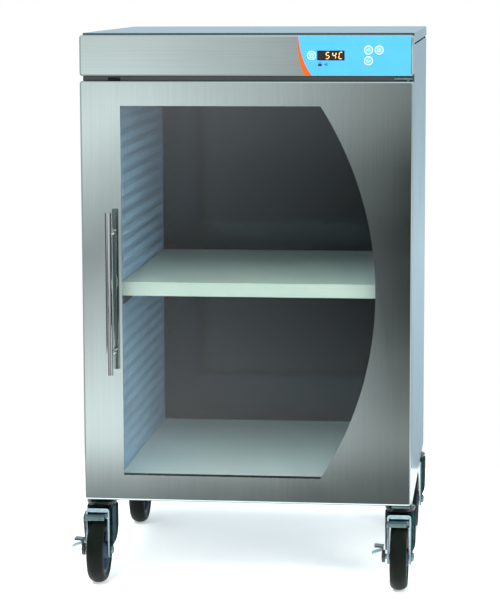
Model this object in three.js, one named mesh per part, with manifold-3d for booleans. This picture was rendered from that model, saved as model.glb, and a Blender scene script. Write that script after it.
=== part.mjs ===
// Blanket warming cabinet: an insulated steel cabinet with a glazed door, on four swivel casters.
// Millimetres, +Z up, floor at Z = 0, front towards -Y, origin under the middle of the overall box.
import * as THREE from "three";
import { mergeVertices } from "three/addons/utils/BufferGeometryUtils.js";
import Module from "manifold-3d";

const wasm = await Module();
wasm.setup();

// Overall sizes
const WIDTH = 620; // cabinet, door and header
const HEIGHT = 1049; // floor to the top cover
const DEPTH = 650; // door front to cabinet back
const SHEET = 1.5; // outer steel
const LINER_SHEET = 1.2; // chamber steel
const FIT = 0.3; // gap left between pieces that touch
const PAST = 1; // cutters run past the faces they cut

// Casters
const WHEEL_RADIUS = 63.5;
const WHEEL_SIDES = 24; // flats round the tread
const TREAD_WIDTH = 32;
const TYRE_BAND = 17.5; // tread to rim
const TREAD_CROWN = 6; // from the side faces in to the flat of the tread
const SHOULDER = [2, 2.5]; // below the tread, in from the side
const SIDEWALL_DROP = 7; // widest ring below the tread
const RIM_INSET = 2; // tyre narrower at the rim
const HUB_WIDTH = TREAD_WIDTH + 4;
const HUB_RIM_INSET = 3; // hub rim inside the tyre's side faces
const HUB_LIP = 5; // rim lip, across the radius
const HUB_DISH = 8; // rim to web
const HUB_WEB = 5; // half thickness
const HUB_BOSS = [14, 18]; // boss radius at its end and at the web
const TRAIL = 35; // axle ahead of the swivel axis
const TREAD_GAP = 16.8; // tread to fork plate
const FORK_SHEET = 3.2;
const FORK_INSIDE = HUB_WIDTH + 3; // between the fork's legs
const FORK_REAR = 17; // legs behind the swivel axis
const FORK_CROWN_RADIUS = 29; // fork plate round the swivel axis
const FORK_FLARE = 22; // legs spread from here, ahead of the swivel axis
const FORK_LIP = 4.6; // turned down along the fork plate's front
const LEG_NOSE = 15; // leg end round the axle
const RACE_RADIUS = 27;
const RACE_HEIGHT = 3.4;
const CAP_RADIUS = 29;
const CAP_TOP_RADIUS = 22;
const CAP_HEIGHT = 5.2;
const COLLAR_HEIGHT = 1.8;
const COLLAR_RADIUS = 11;
const STEM_RADIUS = 6;
const STEM_LENGTH = 28; // collar to tip
const AXLE_RADIUS = 5;
const AXLE_HEAD_RADIUS = 8.5;
const AXLE_HEAD_LENGTH = 4.5;
const CASTER_INSET_X = 22; // swivel axis from the cabinet's side
const CASTER_FRONT = 60; // front swivel axis behind the door front
const CASTER_REAR = 93; // rear swivel axis ahead of the cabinet back

// Side-lock brakes on the front casters
const SHOE_GAP = 2; // shoe to tread, released
const SHOE_CROWN_GAP = 3.5; // shoe to the fork's crown, released
const SHOE_START = 93; // degrees round the tread from the rear
const SHOE_END = 110;
const SHOE_LIP = [3, 7]; // front edge, its thickness and height
const SHOE_INSET = 2; // shoe short of the tread's right edge
const ARM_SHEET = 3;
const ARM_FOOT_HALF = 8;
const ARM_FOOT_GAP = 2; // arm to the lever's hub
const LEVER_HUB_RADIUS = 12;
const LEVER_HUB_LENGTH = 6.5;
const LEVER_SEAT = 2; // hub behind the axle's sunk head
const LEVER_REACH = 52; // wheel centre to pedal tip
const LEVER_SHEET = 3;
const LEVER_FRONT = 14; // pedal ahead of the axle
const LEVER_BACK = 9;
const LEVER_ROOTS = [16, 22]; // lower and upper tongue above the axle, at the web
const LEVER_TIPS = [8, 23]; // and at their ends
const LEVER_SHORT = 5; // upper tongue short of the lower one

// Body
const PANEL_FLANGE = 18;
const COVER_LIP = 19.5;
const COVER_SEAM = 3; // cover lip to side panel
const COVER_GAP = 2; // header to cover plate
const BASE_SHEET = 2.5;
const BASE_FLANGE = 25;

// Header and controls
const HEADER_HEIGHT = 75.5;
const HEADER_GAP = 9; // header to door
const CORNER_RADIUS = 5; // header and door corners
const BEND_RADIUS = 3; // header and door front edges
const OVERLAY_WIDTH = 208.5;
const OVERLAY_THICKNESS = 0.7;
const OVERLAY_RIGHT = 4.5; // overlay from the header's edges
const OVERLAY_TOP = 2;
const OVERLAY_BOTTOM = 1.5;
const OVERLAY_SWEEP = 13; // lean of the overlay's curved left edge
const KEY_RADIUS = 9;
const KEY_TRAVEL = 0.6;
const KEY_CAP = 0.8;
const PLUNGER_RADIUS = 4;
const DISPLAY_SIZE = [50, 17.5];
const KEY_PITCH = 2 * KEY_RADIUS + 1.5;
// Places right of and below the overlay's top left corner
const DISPLAY_PLACE = [61.5, 35.3];
const KEYS = {
  power_key: [26, 35.3],
  up_key: [130.5, 25.5],
  down_key: [130.5, 25.5 + KEY_PITCH],
  set_key: [130.5 + KEY_PITCH, 25.5],
};
const BOARD_DEPTH = 15; // header face to board
const BOARD_SHEET = 1.6;
const BOARD_MARGIN = 14; // board past the outermost key centres
const BOARD_POST_RADIUS = 3;
const SWITCH_HEIGHT = 5;
const SWITCH_GAP = 0.1; // key to switch, pressed

// Door
const DOOR_THICKNESS = 32;
const DOOR_SEAL_GAP = 6; // door back to front frame
const DOOR_RISE = 9; // door bottom above the base underside
const WINDOW_LEFT = 76; // window from the door's edges
const WINDOW_RIGHT = 68; // at the arc's apex
const WINDOW_TOP = 46;
const WINDOW_BOTTOM = 49;
const WINDOW_BULGE = 102.5; // sagitta of the curved edge
const WINDOW_CHANNEL = 6; // liner opening past the window
const GLASS_THICKNESS = 5;
const GLASS_LAP = 15; // glass past the window
const GASKET_WIDTH = 12;
const GASKET_LAP = 5; // gasket past the mouth
const HINGE_INSET = 11; // hinge axis from the door's right edge
const HINGE_PIN_RADIUS = 4;
const HINGE_PIN_DEPTH = 10;
const HINGE_PLATE = 4;
const HINGE_PLATE_LEFT = 25; // plate from the hinge axis
const HINGE_PLATE_RIGHT = 9;
const HINGE_PLATE_FRONT = 8;
const MAGNET_SIZE = [22, 18];
const MAGNET_LEFT = 48; // magnet from the door's left edge
const MAGNET_RISE = 5; // magnet above the door's top
const HANDLE_REACH = 46; // handle front ahead of the door
const HANDLE_RADIUS = 6.35;
const HANDLE_LENGTH = 307;
const HANDLE_CENTRES = 227;
const HANDLE_POST_RADIUS = 4.5;
const HANDLE_LEFT = 58; // bar from the door's left edge
const HANDLE_RISE = 400; // bar centre above the door bottom

// Chamber
const CHAMBER_SIDE = 52; // liner from the cabinet's side
const DUCT_DEPTH = 14; // perforated panel from the liner
const MOUTH_CORNER = 6;
const CHAMBER_RISE = 54; // floor above the base underside
const CHAMBER_DROP = 36; // ceiling below the door's top
const CHAMBER_BACK = 55; // back wall ahead of the cabinet back
const PANEL_SLOT = [3.5, 16];
const PANEL_SLOT_COLUMNS = 5;
const PANEL_SLOT_ROWS = 8;
const SHELF_RISE = 368; // shelf top above the chamber floor
const SHELF_FLANGE = 26;
const SHELF_FRONT = 4; // shelf behind the mouth
const SHELF_BACK = 6;
const RAIL_WIDTH = 15;
const RAIL_HEIGHT = 20;
const RAIL_END = 20; // rail short of the shelf's ends
const INSULATION_GAP = 6; // jacket inside the outer panels
const INSULATION_TOP = 37; // jacket above the chamber ceiling
const CABLE_RADIUS = 2.2;
const CABLE_SPACE = 8; // liner to jacket
const CABLE_BEND = 7; // round the liner's corners
const CABLE_TURN = 16; // at the ends of the passes
const CABLE_PASSES = 8;
const CABLE_END = 40; // passes short of the mouth
const PROBE_RADIUS = 3;
const PROBE_LENGTH = 80;
const PROBE_DROP = 40; // below the ceiling
const SUPPLY_SIZE = [110, 40, 44];
const SUPPLY_X = 120;
const GLAND_REACH = 20; // gland behind the cabinet back
const GLAND_RADIUS = 12;
const GLAND_THREAD = 8;
const GLAND_NUT = 6;
const GLAND_TAPER = 8;
const GLAND_BORE = 4.5;
const GLAND_X = -200;
const GLAND_DROP = 52; // below the top cover

// Levels above the floor
const axleZ = WHEEL_RADIUS * Math.cos(Math.PI / WHEEL_SIDES);
const forkUnder = axleZ + WHEEL_RADIUS + TREAD_GAP;
const forkTop = forkUnder + FORK_SHEET;
const raceTop = forkTop + RACE_HEIGHT;
const capUnder = raceTop + FIT;
const capTop = capUnder + CAP_HEIGHT;
const collarTop = capTop + COLLAR_HEIGHT;
const baseZ = collarTop + FIT;
const doorBottom = baseZ + DOOR_RISE;
const coverUnder = HEIGHT - SHEET;
const panelTop = HEIGHT - COVER_LIP - COVER_SEAM;
const headerTop = coverUnder - COVER_GAP;
const headerBottom = headerTop - HEADER_HEIGHT;
const doorTop = headerBottom - HEADER_GAP;
const chamberFloor = baseZ + CHAMBER_RISE;
const chamberTop = doorTop - CHAMBER_DROP;
const shelfTop = chamberFloor + SHELF_RISE;

// Planes across the depth
const doorFront = HANDLE_REACH - (HANDLE_REACH + DEPTH + GLAND_REACH) / 2;
const doorBack = doorFront + DOOR_THICKNESS;
const bodyFront = doorBack + DOOR_SEAL_GAP;
const bodyBack = doorFront + DEPTH;
const rearFace = bodyBack - SHEET - FIT; // rear panel, inside the cover's lip
const rearInner = rearFace - SHEET;
const frameBack = bodyFront + SHEET;
const chamberBack = bodyBack - CHAMBER_BACK;

// Planes across the width
const side = WIDTH / 2;
const chamber = side - CHAMBER_SIDE;
const mouth = chamber - DUCT_DEPTH;

// Materials
function finish(color, roughness, metalness) {
  return new THREE.MeshStandardMaterial({ color, roughness, metalness });
}
const steel = finish(0xb4bcba, 0.32, 1);
const polished = finish(0xd0d4d4, 0.15, 1);
const zinc = finish(0x7f9496, 0.35, 1);
const darkSteel = finish(0x2b2e2e, 0.45, 1);
const rubber = finish(0x1b1d1c, 0.75, 0);
const hubPlastic = finish(0x454f60, 0.5, 0);
const glazing = finish(0xd8e8ea, 0.03, 0);
const film = finish(0x55c4f5, 0.4, 0);
const keyWhite = finish(0xe8f4f8, 0.4, 0);
const boardGreen = finish(0x1f6b3a, 0.6, 0);
const blackPlastic = finish(0x141414, 0.5, 0);
const wool = finish(0xe6d9a0, 0.95, 0);

// Solids from geometry, joined and cut
function toSolid(geometry) {
  const bare = new THREE.BufferGeometry();
  const source = geometry.index ? geometry.toNonIndexed() : geometry;
  bare.setAttribute("position", source.getAttribute("position").clone());
  const merged = mergeVertices(bare, 1e-4);
  const corners = merged.index.array;
  const whole = [];
  for (let i = 0; i < corners.length; i += 3) {
    const [a, b, c] = [corners[i], corners[i + 1], corners[i + 2]];
    if (a !== b && b !== c && c !== a) whole.push(a, b, c);
  }
  const build = (triVerts) =>
    new wasm.Manifold(
      new wasm.Mesh({
        numProp: 3,
        vertProperties: merged.attributes.position.array,
        triVerts: new Uint32Array(triVerts),
      }),
    );
  const solid = build(whole);
  return solid.volume() > 0 ? solid : build(whole.reverse());
}

function toGeometry(solid) {
  const mesh = solid.getMesh();
  const geometry = new THREE.BufferGeometry();
  geometry.setAttribute("position", new THREE.BufferAttribute(new Float32Array(mesh.vertProperties), 3));
  geometry.setIndex(new THREE.BufferAttribute(new Uint32Array(mesh.triVerts), 1));
  geometry.computeVertexNormals();
  return geometry;
}

function join(...pieces) {
  return toGeometry(pieces.map(toSolid).reduce((a, b) => a.add(b)));
}

function meet(a, b) {
  return toGeometry(toSolid(a).intersect(toSolid(b)));
}

function cut(piece, ...tools) {
  return toGeometry(tools.map(toSolid).reduce((a, b) => a.subtract(b), toSolid(piece)));
}

// Basic forms, each between two limits on every axis
function box(x0, x1, y0, y1, z0, z1) {
  const geometry = new THREE.BoxGeometry(x1 - x0, y1 - y0, z1 - z0);
  return geometry.translate((x0 + x1) / 2, (y0 + y1) / 2, (z0 + z1) / 2);
}

// A geometry made about its own Z axis, turned to run along another axis.
function turnTo(geometry, axis) {
  const [x, y, z] = [[1, 0, 0], [0, 1, 0], [0, 0, 1]].map((unit) => new THREE.Vector3(...unit));
  const basis = { X: [y, z, x], Y: [x, z, y.clone().negate()], Z: [x, y, z] }[axis];
  return geometry.applyMatrix4(new THREE.Matrix4().makeBasis(...basis));
}

// An outline thickened along one axis. Z outlines are in X and Y, Y ones in X and Z, X ones in Y and Z.
function plate(outline, axis, from, to, curveSegments = 6) {
  const settings = { depth: to - from, bevelEnabled: false, curveSegments };
  const geometry = new THREE.ExtrudeGeometry(outline, settings);
  turnTo(geometry, axis);
  const start = { X: [from, 0, 0], Y: [0, to, 0], Z: [0, 0, from] }[axis];
  return geometry.translate(...start);
}

// A turned form about an axis, from [radius, distance along the axis] pairs.
function turned(profile, axis, sides, centre = [0, 0, 0]) {
  const points = profile.map(([radius, along]) => new THREE.Vector2(radius, along));
  const geometry = new THREE.LatheGeometry(points, sides, Math.PI / sides).rotateX(Math.PI / 2);
  if (axis === "X") geometry.rotateY(Math.PI / 2);
  if (axis === "Y") geometry.rotateX(-Math.PI / 2);
  return geometry.translate(...centre);
}

const rod = (radius, axis, from, to, centre, sides = 12) =>
  turned([[0, from], [radius, from], [radius, to], [0, to]], axis, sides, centre);

// A closed outline through pairs.
function polygon(pairs) {
  return new THREE.Shape(pairs.map(([x, y]) => new THREE.Vector2(x, y)));
}

function rectangle(x0, x1, y0, y1, radius = 0) {
  if (radius === 0) return polygon([[x0, y0], [x1, y0], [x1, y1], [x0, y1]]);
  const outline = new THREE.Shape();
  outline.absarc(x1 - radius, y0 + radius, radius, -Math.PI / 2, 0);
  outline.absarc(x1 - radius, y1 - radius, radius, 0, Math.PI / 2);
  outline.absarc(x0 + radius, y1 - radius, radius, Math.PI / 2, Math.PI);
  outline.absarc(x0 + radius, y0 + radius, radius, Math.PI, 1.5 * Math.PI);
  return outline;
}

// A block with rounded corners whose front edges are bent to a radius.
function bentBlock(x0, x1, z0, z1, front, back, corner, bend) {
  const spare = 5;
  const depth = back - front - bend + spare;
  const geometry = new THREE.ExtrudeGeometry(rectangle(x0, x1, z0, z1, corner), {
    depth,
    bevelThickness: bend,
    bevelSize: bend,
    bevelOffset: -bend,
    bevelSegments: 2,
    curveSegments: 3,
  });
  turnTo(geometry, "Y").translate(0, front + depth + bend, 0);
  return cut(geometry, box(x0 - spare, x1 + spare, back, back + 4 * spare, z0 - spare, z1 + spare));
}

// A sheet steel pan, open at the back.
function bentPan(x0, x1, z0, z1, front, back) {
  const outer = bentBlock(x0, x1, z0, z1, front, back, CORNER_RADIUS, BEND_RADIUS);
  const inner = bentBlock(
    x0 + SHEET, x1 - SHEET, z0 + SHEET, z1 - SHEET, front + SHEET, back + PAST,
    CORNER_RADIUS - SHEET, BEND_RADIUS - SHEET,
  );
  return cut(outer, inner);
}

// A round tube through a list of points, its section carried along without twist.
function tubeThrough(points, radius, sides) {
  const rings = [];
  let normal = new THREE.Vector3(0, 0, 1);
  points.forEach((point, i) => {
    const before = points[Math.max(i - 1, 0)];
    const after = points[Math.min(i + 1, points.length - 1)];
    const along = after.clone().sub(before).normalize();
    const sideways = along.clone().cross(normal).normalize();
    normal = sideways.clone().cross(along).normalize();
    for (let k = 0; k < sides; k += 1) {
      const angle = (2 * Math.PI * k) / sides;
      const offset = normal.clone().multiplyScalar(Math.cos(angle));
      offset.addScaledVector(sideways, Math.sin(angle));
      rings.push(point.clone().addScaledVector(offset, radius));
    }
  });
  const last = rings.length - sides;
  const faces = [];
  for (let start = 0; start < last; start += sides) {
    for (let k = 0; k < sides; k += 1) {
      const next = (k + 1) % sides;
      const onward = start + sides;
      faces.push(start + k, start + next, onward + next, start + k, onward + next, onward + k);
    }
  }
  for (let k = 1; k < sides - 1; k += 1) {
    faces.push(0, k + 1, k, last, last + k, last + k + 1);
  }
  const geometry = new THREE.BufferGeometry().setFromPoints(rings);
  return geometry.setIndex(faces);
}

const object = new THREE.Group();

function add(group, name, geometry, material) {
  const mesh = new THREE.Mesh(toGeometry(toSolid(geometry)), material);
  mesh.name = name;
  group.add(mesh);
}

// Outer shell: top cover, side panels, rear panel, base pan, front frame
function outerShell() {
  const coverOuter = box(-side, side, bodyFront, bodyBack, HEIGHT - COVER_LIP, HEIGHT);
  const coverInner = box(
    -side + SHEET, side - SHEET, bodyFront - PAST, bodyBack - SHEET, HEIGHT - COVER_LIP - PAST, coverUnder,
  );
  add(object, "top_cover", cut(coverOuter, coverInner), steel);

  const panelFront = frameBack + FIT;
  const panelBack = rearInner - FIT;
  for (const [name, sign] of [["side_panel_left", -1], ["side_panel_right", 1]]) {
    const outer = sign * side;
    const skin = sign * (side - SHEET);
    const flange = sign * (side - PANEL_FLANGE);
    const outline = polygon([
      [outer, panelFront], [outer, panelBack], [flange, panelBack], [flange, panelBack - SHEET],
      [skin, panelBack - SHEET], [skin, panelFront + SHEET],
      [flange, panelFront + SHEET], [flange, panelFront],
    ]);
    add(object, name, plate(outline, "Z", baseZ, panelTop), steel);
  }

  const panX = side - SHEET - FIT;
  const rear = box(-panX, panX, rearInner, rearFace, baseZ, coverUnder - FIT);
  const glandPlace = [GLAND_X, 0, HEIGHT - GLAND_DROP];
  const glandHole = rod(GLAND_THREAD + FIT, "Y", rearInner - PAST, rearFace + PAST, glandPlace);
  add(object, "rear_panel", cut(rear, glandHole), steel);

  const panFront = panelFront + SHEET + FIT;
  const panBack = panelBack - SHEET - FIT;
  const panInner = box(
    -panX + BASE_SHEET, panX - BASE_SHEET, panFront + BASE_SHEET, panBack - BASE_SHEET,
    baseZ + BASE_SHEET, baseZ + BASE_FLANGE + PAST,
  );
  const stemHoles = casterPlaces.map(({ x, y }) =>
    rod(STEM_RADIUS + FIT, "Z", baseZ - PAST, baseZ + BASE_SHEET + PAST, [x, y, 0]),
  );
  const pan = box(-panX, panX, panFront, panBack, baseZ, baseZ + BASE_FLANGE);
  add(object, "base_pan", cut(pan, panInner, ...stemHoles), steel);

  const frame = join(
    box(-side, side, bodyFront, frameBack, baseZ, panelTop),
    box(-panX, panX, bodyFront, frameBack, baseZ, coverUnder - FIT),
  );
  const mouthOutline = rectangle(-mouth, mouth, chamberFloor, chamberTop, MOUTH_CORNER);
  const opening = plate(mouthOutline, "Y", bodyFront - PAST, frameBack + PAST);
  const boardBay = box(
    overlayLeft, overlayRight, bodyFront - PAST, frameBack + PAST,
    headerBottom + HEADER_GAP, headerTop - HEADER_GAP,
  );
  add(object, "front_frame", cut(frame, opening, boardBay), steel);
}

// Chamber liner plates, insulation jacket and heating cable
function chamberWalls() {
  const front = frameBack + FIT;
  const wall = chamber + LINER_SHEET;
  for (const [name, sign] of [["liner_left", -1], ["liner_right", 1]]) {
    const [x0, x1] = [sign * chamber, sign * wall].sort((a, b) => a - b);
    add(object, name, box(x0, x1, front, chamberBack, chamberFloor, chamberTop), steel);
  }
  const under = chamberFloor - FIT;
  const above = chamberTop + FIT;
  const behind = chamberBack + FIT;
  add(object, "liner_floor", box(-wall, wall, front, chamberBack, under - LINER_SHEET, under), steel);
  add(object, "liner_top", box(-wall, wall, front, chamberBack, above, above + LINER_SHEET), steel);
  const linerBack = box(-wall, wall, behind, behind + LINER_SHEET, under - LINER_SHEET, above + LINER_SHEET);
  add(object, "liner_back", linerBack, steel);

  const jacketX = side - SHEET - INSULATION_GAP;
  const jacket = box(
    -jacketX, jacketX, front + SHEET + 2 * FIT, rearInner - INSULATION_GAP,
    baseZ + BASE_SHEET + FIT, chamberTop + INSULATION_TOP,
  );
  const hollow = box(
    -wall - CABLE_SPACE, wall + CABLE_SPACE, bodyFront, behind + LINER_SHEET + CABLE_SPACE,
    under - LINER_SHEET - FIT, above + LINER_SHEET + FIT,
  );
  const stemRoom = casterPlaces.map(({ x, y }) =>
    rod(STEM_RADIUS + COLLAR_RADIUS, "Z", baseZ, collarTop + STEM_LENGTH + FIT, [x, y, 0]),
  );
  const flangeRoom = cut(
    box(-side, side, bodyFront, bodyBack, baseZ, baseZ + BASE_FLANGE + INSULATION_GAP),
    box(
      -jacketX + INSULATION_GAP, jacketX - INSULATION_GAP, bodyFront + 2 * INSULATION_GAP,
      rearInner - 3 * INSULATION_GAP, baseZ - PAST, baseZ + 2 * BASE_FLANGE,
    ),
  );
  add(object, "insulation_jacket", cut(jacket, hollow, flangeRoom, ...stemRoom), wool);

  add(object, "heating_cable", tubeThrough(cableRoute(), CABLE_RADIUS, 6), blackPlastic);
}

// One unbroken cable, back and forth round the liner's sides and back.
function cableRoute() {
  const x = chamber + LINER_SHEET + CABLE_SPACE / 2;
  const back = chamberBack + FIT + LINER_SHEET + CABLE_SPACE / 2;
  const front = frameBack + CABLE_END;
  const pitch = (chamberTop - chamberFloor) / (CABLE_PASSES + 1);
  const points = [];
  const put = (px, py, pz) => points.push(new THREE.Vector3(px, py, pz));
  const steps = [0, Math.PI / 6, Math.PI / 3, Math.PI / 2];
  const turn = (end, angle, z, way) => {
    const forwards = CABLE_TURN * (1 - Math.sin(angle));
    const upwards = CABLE_TURN * (1 - Math.cos(angle));
    put(end * x, front + forwards, z + way * upwards);
  };
  for (let pass = 0; pass < CABLE_PASSES; pass += 1) {
    const sign = pass % 2 === 0 ? -1 : 1;
    const z = chamberFloor + pitch * (pass + 1);
    const bend = (end, angle) => {
      const inwards = CABLE_BEND * (1 - Math.cos(angle));
      const forwards = CABLE_BEND * (1 - Math.sin(angle));
      put(end * (x - inwards), back - forwards, z);
    };
    if (pass === 0) put(sign * x, front, z);
    else steps.toReversed().forEach((angle) => turn(sign, angle, z, -1));
    steps.forEach((angle) => bend(sign, angle));
    steps.toReversed().forEach((angle) => bend(-sign, angle));
    if (pass === CABLE_PASSES - 1) put(-sign * x, front, z);
    else steps.forEach((angle) => turn(-sign, angle, z, 1));
  }
  return points;
}

// Chamber furniture: perforated duct panels, shelf rails, shelf and temperature probe
function chamberFurniture() {
  const panelFront = frameBack + FIT;
  const panelBack = chamberBack - FIT;
  for (const [name, sign] of [["perforated_panel_left", -1], ["perforated_panel_right", 1]]) {
    const face = sign * mouth;
    const rear = face + sign * LINER_SHEET;
    const foot = sign * (chamber - FIT);
    const outline = polygon([
      [face, panelFront], [face, panelBack], [foot, panelBack], [foot, panelBack - LINER_SHEET],
      [rear, panelBack - LINER_SHEET], [rear, panelFront + LINER_SHEET], [foot, panelFront + LINER_SHEET],
      [foot, panelFront],
    ]);
    const panel = plate(outline, "Z", chamberFloor + FIT, chamberTop - FIT);
    add(object, name, cut(panel, ...panelSlots(face, panelFront, panelBack)), steel);
  }

  const shelfFront = frameBack + SHELF_FRONT;
  const shelfBack = chamberBack - SHELF_BACK;
  const shelfX = mouth - 2 * FIT - LINER_SHEET;
  const shelfUnder = shelfTop - SHELF_FLANGE;
  const shelfOuter = box(-shelfX, shelfX, shelfFront, shelfBack, shelfUnder, shelfTop);
  const shelfInner = box(
    -shelfX + SHEET, shelfX - SHEET, shelfFront + SHEET, shelfBack - SHEET,
    shelfUnder - PAST, shelfTop - SHEET,
  );
  add(object, "shelf", cut(shelfOuter, shelfInner), steel);

  const railTop = shelfUnder - FIT;
  for (const [name, sign] of [["shelf_rail_left", -1], ["shelf_rail_right", 1]]) {
    const outer = sign * (mouth - FIT);
    const inner = outer - sign * RAIL_WIDTH;
    const web = outer - sign * SHEET;
    const outline = polygon([
      [outer, railTop], [outer, railTop - RAIL_HEIGHT], [web, railTop - RAIL_HEIGHT],
      [web, railTop - SHEET], [inner, railTop - SHEET], [inner, railTop],
    ]);
    add(object, name, plate(outline, "Y", shelfFront + RAIL_END, shelfBack - RAIL_END), steel);
  }

  const probeX = (mouth + LINER_SHEET + chamber) / 2;
  const probeY = (frameBack + chamberBack) / 2;
  const probeTop = chamberTop - PROBE_DROP;
  const probeRod = rod(PROBE_RADIUS, "Z", probeTop - PROBE_LENGTH, probeTop, [probeX, probeY, 0], 10);
  const clipHalf = 2 * PROBE_RADIUS;
  const clip = box(
    probeX, chamber - FIT, probeY - clipHalf, probeY + clipHalf, probeTop - PROBE_LENGTH / 2 - clipHalf,
    probeTop - PROBE_LENGTH / 2 + clipHalf,
  );
  add(object, "temperature_probe", join(probeRod, clip), polished);
}

function panelSlots(x, front, back) {
  const [halfY, halfZ] = PANEL_SLOT.map((size) => size / 2);
  const reach = 2 * LINER_SHEET;
  const stepY = (back - front) / (PANEL_SLOT_COLUMNS + 1);
  const stepZ = (chamberTop - chamberFloor) / (PANEL_SLOT_ROWS + 1);
  const slots = [];
  for (let column = 1; column <= PANEL_SLOT_COLUMNS; column += 1) {
    for (let row = 1; row <= PANEL_SLOT_ROWS; row += 1) {
      const y = front + stepY * column;
      const z = chamberFloor + stepZ * row;
      slots.push(box(x - reach, x + reach, y - halfY, y + halfY, z - halfZ, z + halfZ));
    }
  }
  return slots;
}

// Header fascia, control overlay, keys, control board, power supply and cord gland
const overlayRight = side - OVERLAY_RIGHT;
const overlayLeft = overlayRight - OVERLAY_WIDTH;
const overlayTop = headerTop - OVERLAY_TOP;
const fromOverlay = ([across, below]) => [overlayLeft + across, overlayTop - below];

function displayOutline(margin) {
  const [x, z] = fromOverlay(DISPLAY_PLACE);
  const [w, h] = [DISPLAY_SIZE[0] / 2 + margin, DISPLAY_SIZE[1] / 2 + margin];
  return rectangle(x - w, x + w, z - h, z + h);
}

function headerAndControls() {
  const overlayBack = doorFront - FIT;
  const overlayFront = overlayBack - OVERLAY_THICKNESS;
  const headerBack = bodyFront - FIT;
  const pan = bentPan(-side, side, headerBottom, headerTop, doorFront, headerBack);
  const places = Object.values(KEYS).map(fromOverlay);
  const plungerHoles = places.map(([x, z]) =>
    rod(PLUNGER_RADIUS + FIT, "Y", doorFront - PAST, doorFront + 2 * SHEET, [x, 0, z]),
  );
  const displayHole = plate(displayOutline(FIT), "Y", doorFront - PAST, doorFront + 2 * SHEET);
  add(object, "header_fascia", cut(pan, displayHole, ...plungerHoles), steel);

  const outline = new THREE.Shape();
  const bottom = headerBottom + OVERLAY_BOTTOM;
  const sweepStart = overlayLeft + OVERLAY_SWEEP;
  outline.moveTo(sweepStart, bottom);
  outline.lineTo(overlayRight, bottom);
  outline.lineTo(overlayRight, overlayTop);
  outline.lineTo(overlayLeft, overlayTop);
  outline.quadraticCurveTo(overlayLeft, (2 * bottom + overlayTop) / 3, sweepStart, bottom);
  const sheet = plate(outline, "Y", overlayFront, overlayBack);
  const keyHoles = places.map(([x, z]) =>
    rod(KEY_RADIUS + FIT, "Y", overlayFront - PAST, overlayBack + PAST, [x, 0, z]),
  );
  const displayGap = plate(displayOutline(FIT), "Y", overlayFront - PAST, overlayBack + PAST);
  add(object, "control_overlay", cut(sheet, displayGap, ...keyHoles), film);

  const boardFront = doorFront + BOARD_DEPTH;
  const switchFront = boardFront - SWITCH_HEIGHT;
  const capBack = doorFront - FIT - KEY_TRAVEL;
  const capFront = capBack - KEY_CAP;
  const tip = switchFront - SWITCH_GAP - KEY_TRAVEL;
  const keyProfile = [
    [0, capFront], [KEY_RADIUS - KEY_CAP / 2, capFront], [KEY_RADIUS, capFront + KEY_CAP / 2],
    [KEY_RADIUS, capBack], [PLUNGER_RADIUS, capBack], [PLUNGER_RADIUS, tip], [0, tip],
  ];
  for (const [name, place] of Object.entries(KEYS)) {
    const [x, z] = fromOverlay(place);
    add(object, name, turned(keyProfile, "Y", 12, [x, 0, z]), keyWhite);
  }

  const xs = places.map(([x]) => x);
  const zs = places.map(([, z]) => z);
  const [x0, x1] = [Math.min(...xs) - BOARD_MARGIN, Math.max(...xs) + BOARD_MARGIN];
  const [z0, z1] = [Math.min(...zs) - BOARD_MARGIN, Math.max(...zs) + BOARD_MARGIN];
  const board = box(x0, x1, boardFront, boardFront + BOARD_SHEET, z0, z1);
  const rooted = boardFront + BOARD_SHEET / 2;
  const display = plate(displayOutline(0), "Y", overlayBack, rooted);
  const half = PLUNGER_RADIUS;
  const switches = places.map(([x, z]) => box(x - half, x + half, switchFront, rooted, z - half, z + half));
  const edge = BOARD_POST_RADIUS + 1;
  const fasciaBack = doorFront + SHEET + FIT;
  const posts = [x0 + edge, x1 - edge].flatMap((x) =>
    [z0 + edge, z1 - edge].map((z) => rod(BOARD_POST_RADIUS, "Y", fasciaBack, rooted, [x, 0, z], 8)),
  );
  add(object, "control_board", join(board, display, ...switches, ...posts), boardGreen);

  const [supplyX, supplyY, supplyZ] = SUPPLY_SIZE;
  const supplyBack = rearInner - FIT;
  const supplyBottom = chamberTop + INSULATION_TOP + INSULATION_GAP;
  const [left, right] = [SUPPLY_X - supplyX / 2, SUPPLY_X + supplyX / 2];
  const supply = box(left, right, supplyBack - supplyY, supplyBack, supplyBottom, supplyBottom + supplyZ);
  const ears = box(
    left - PANEL_FLANGE, right + PANEL_FLANGE, supplyBack - BASE_SHEET, supplyBack,
    supplyBottom, supplyBottom + supplyZ / 2,
  );
  add(object, "power_supply", join(supply, ears), darkSteel);

  const nutBack = rearInner - FIT;
  const nutFront = nutBack - GLAND_NUT;
  const flange = rearFace + FIT;
  const glandEnd = bodyBack + GLAND_REACH;
  const gland = [
    [GLAND_BORE, nutFront], [GLAND_RADIUS, nutFront], [GLAND_RADIUS, nutBack], [GLAND_THREAD, nutBack],
    [GLAND_THREAD, flange], [GLAND_RADIUS, flange], [GLAND_RADIUS, glandEnd - GLAND_TAPER],
    [GLAND_THREAD, glandEnd], [GLAND_BORE, glandEnd], [GLAND_BORE, nutFront],
  ];
  add(object, "cord_gland", turned(gland, "Y", 12, [GLAND_X, 0, HEIGHT - GLAND_DROP]), blackPlastic);
}

// Door: skin, glass, liner, gasket and handle, with the hinge brackets and magnet on the cabinet
const hinge = { x: side - HINGE_INSET, y: doorFront + DOOR_THICKNESS / 2 };
const windowTop = doorTop - WINDOW_TOP;
const windowBottom = doorBottom + WINDOW_BOTTOM;
const windowMiddle = (windowTop + windowBottom) / 2;
const windowHalf = (windowTop - windowBottom) / 2;
const windowRadius = (windowHalf * windowHalf + WINDOW_BULGE * WINDOW_BULGE) / (2 * WINDOW_BULGE);

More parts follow.
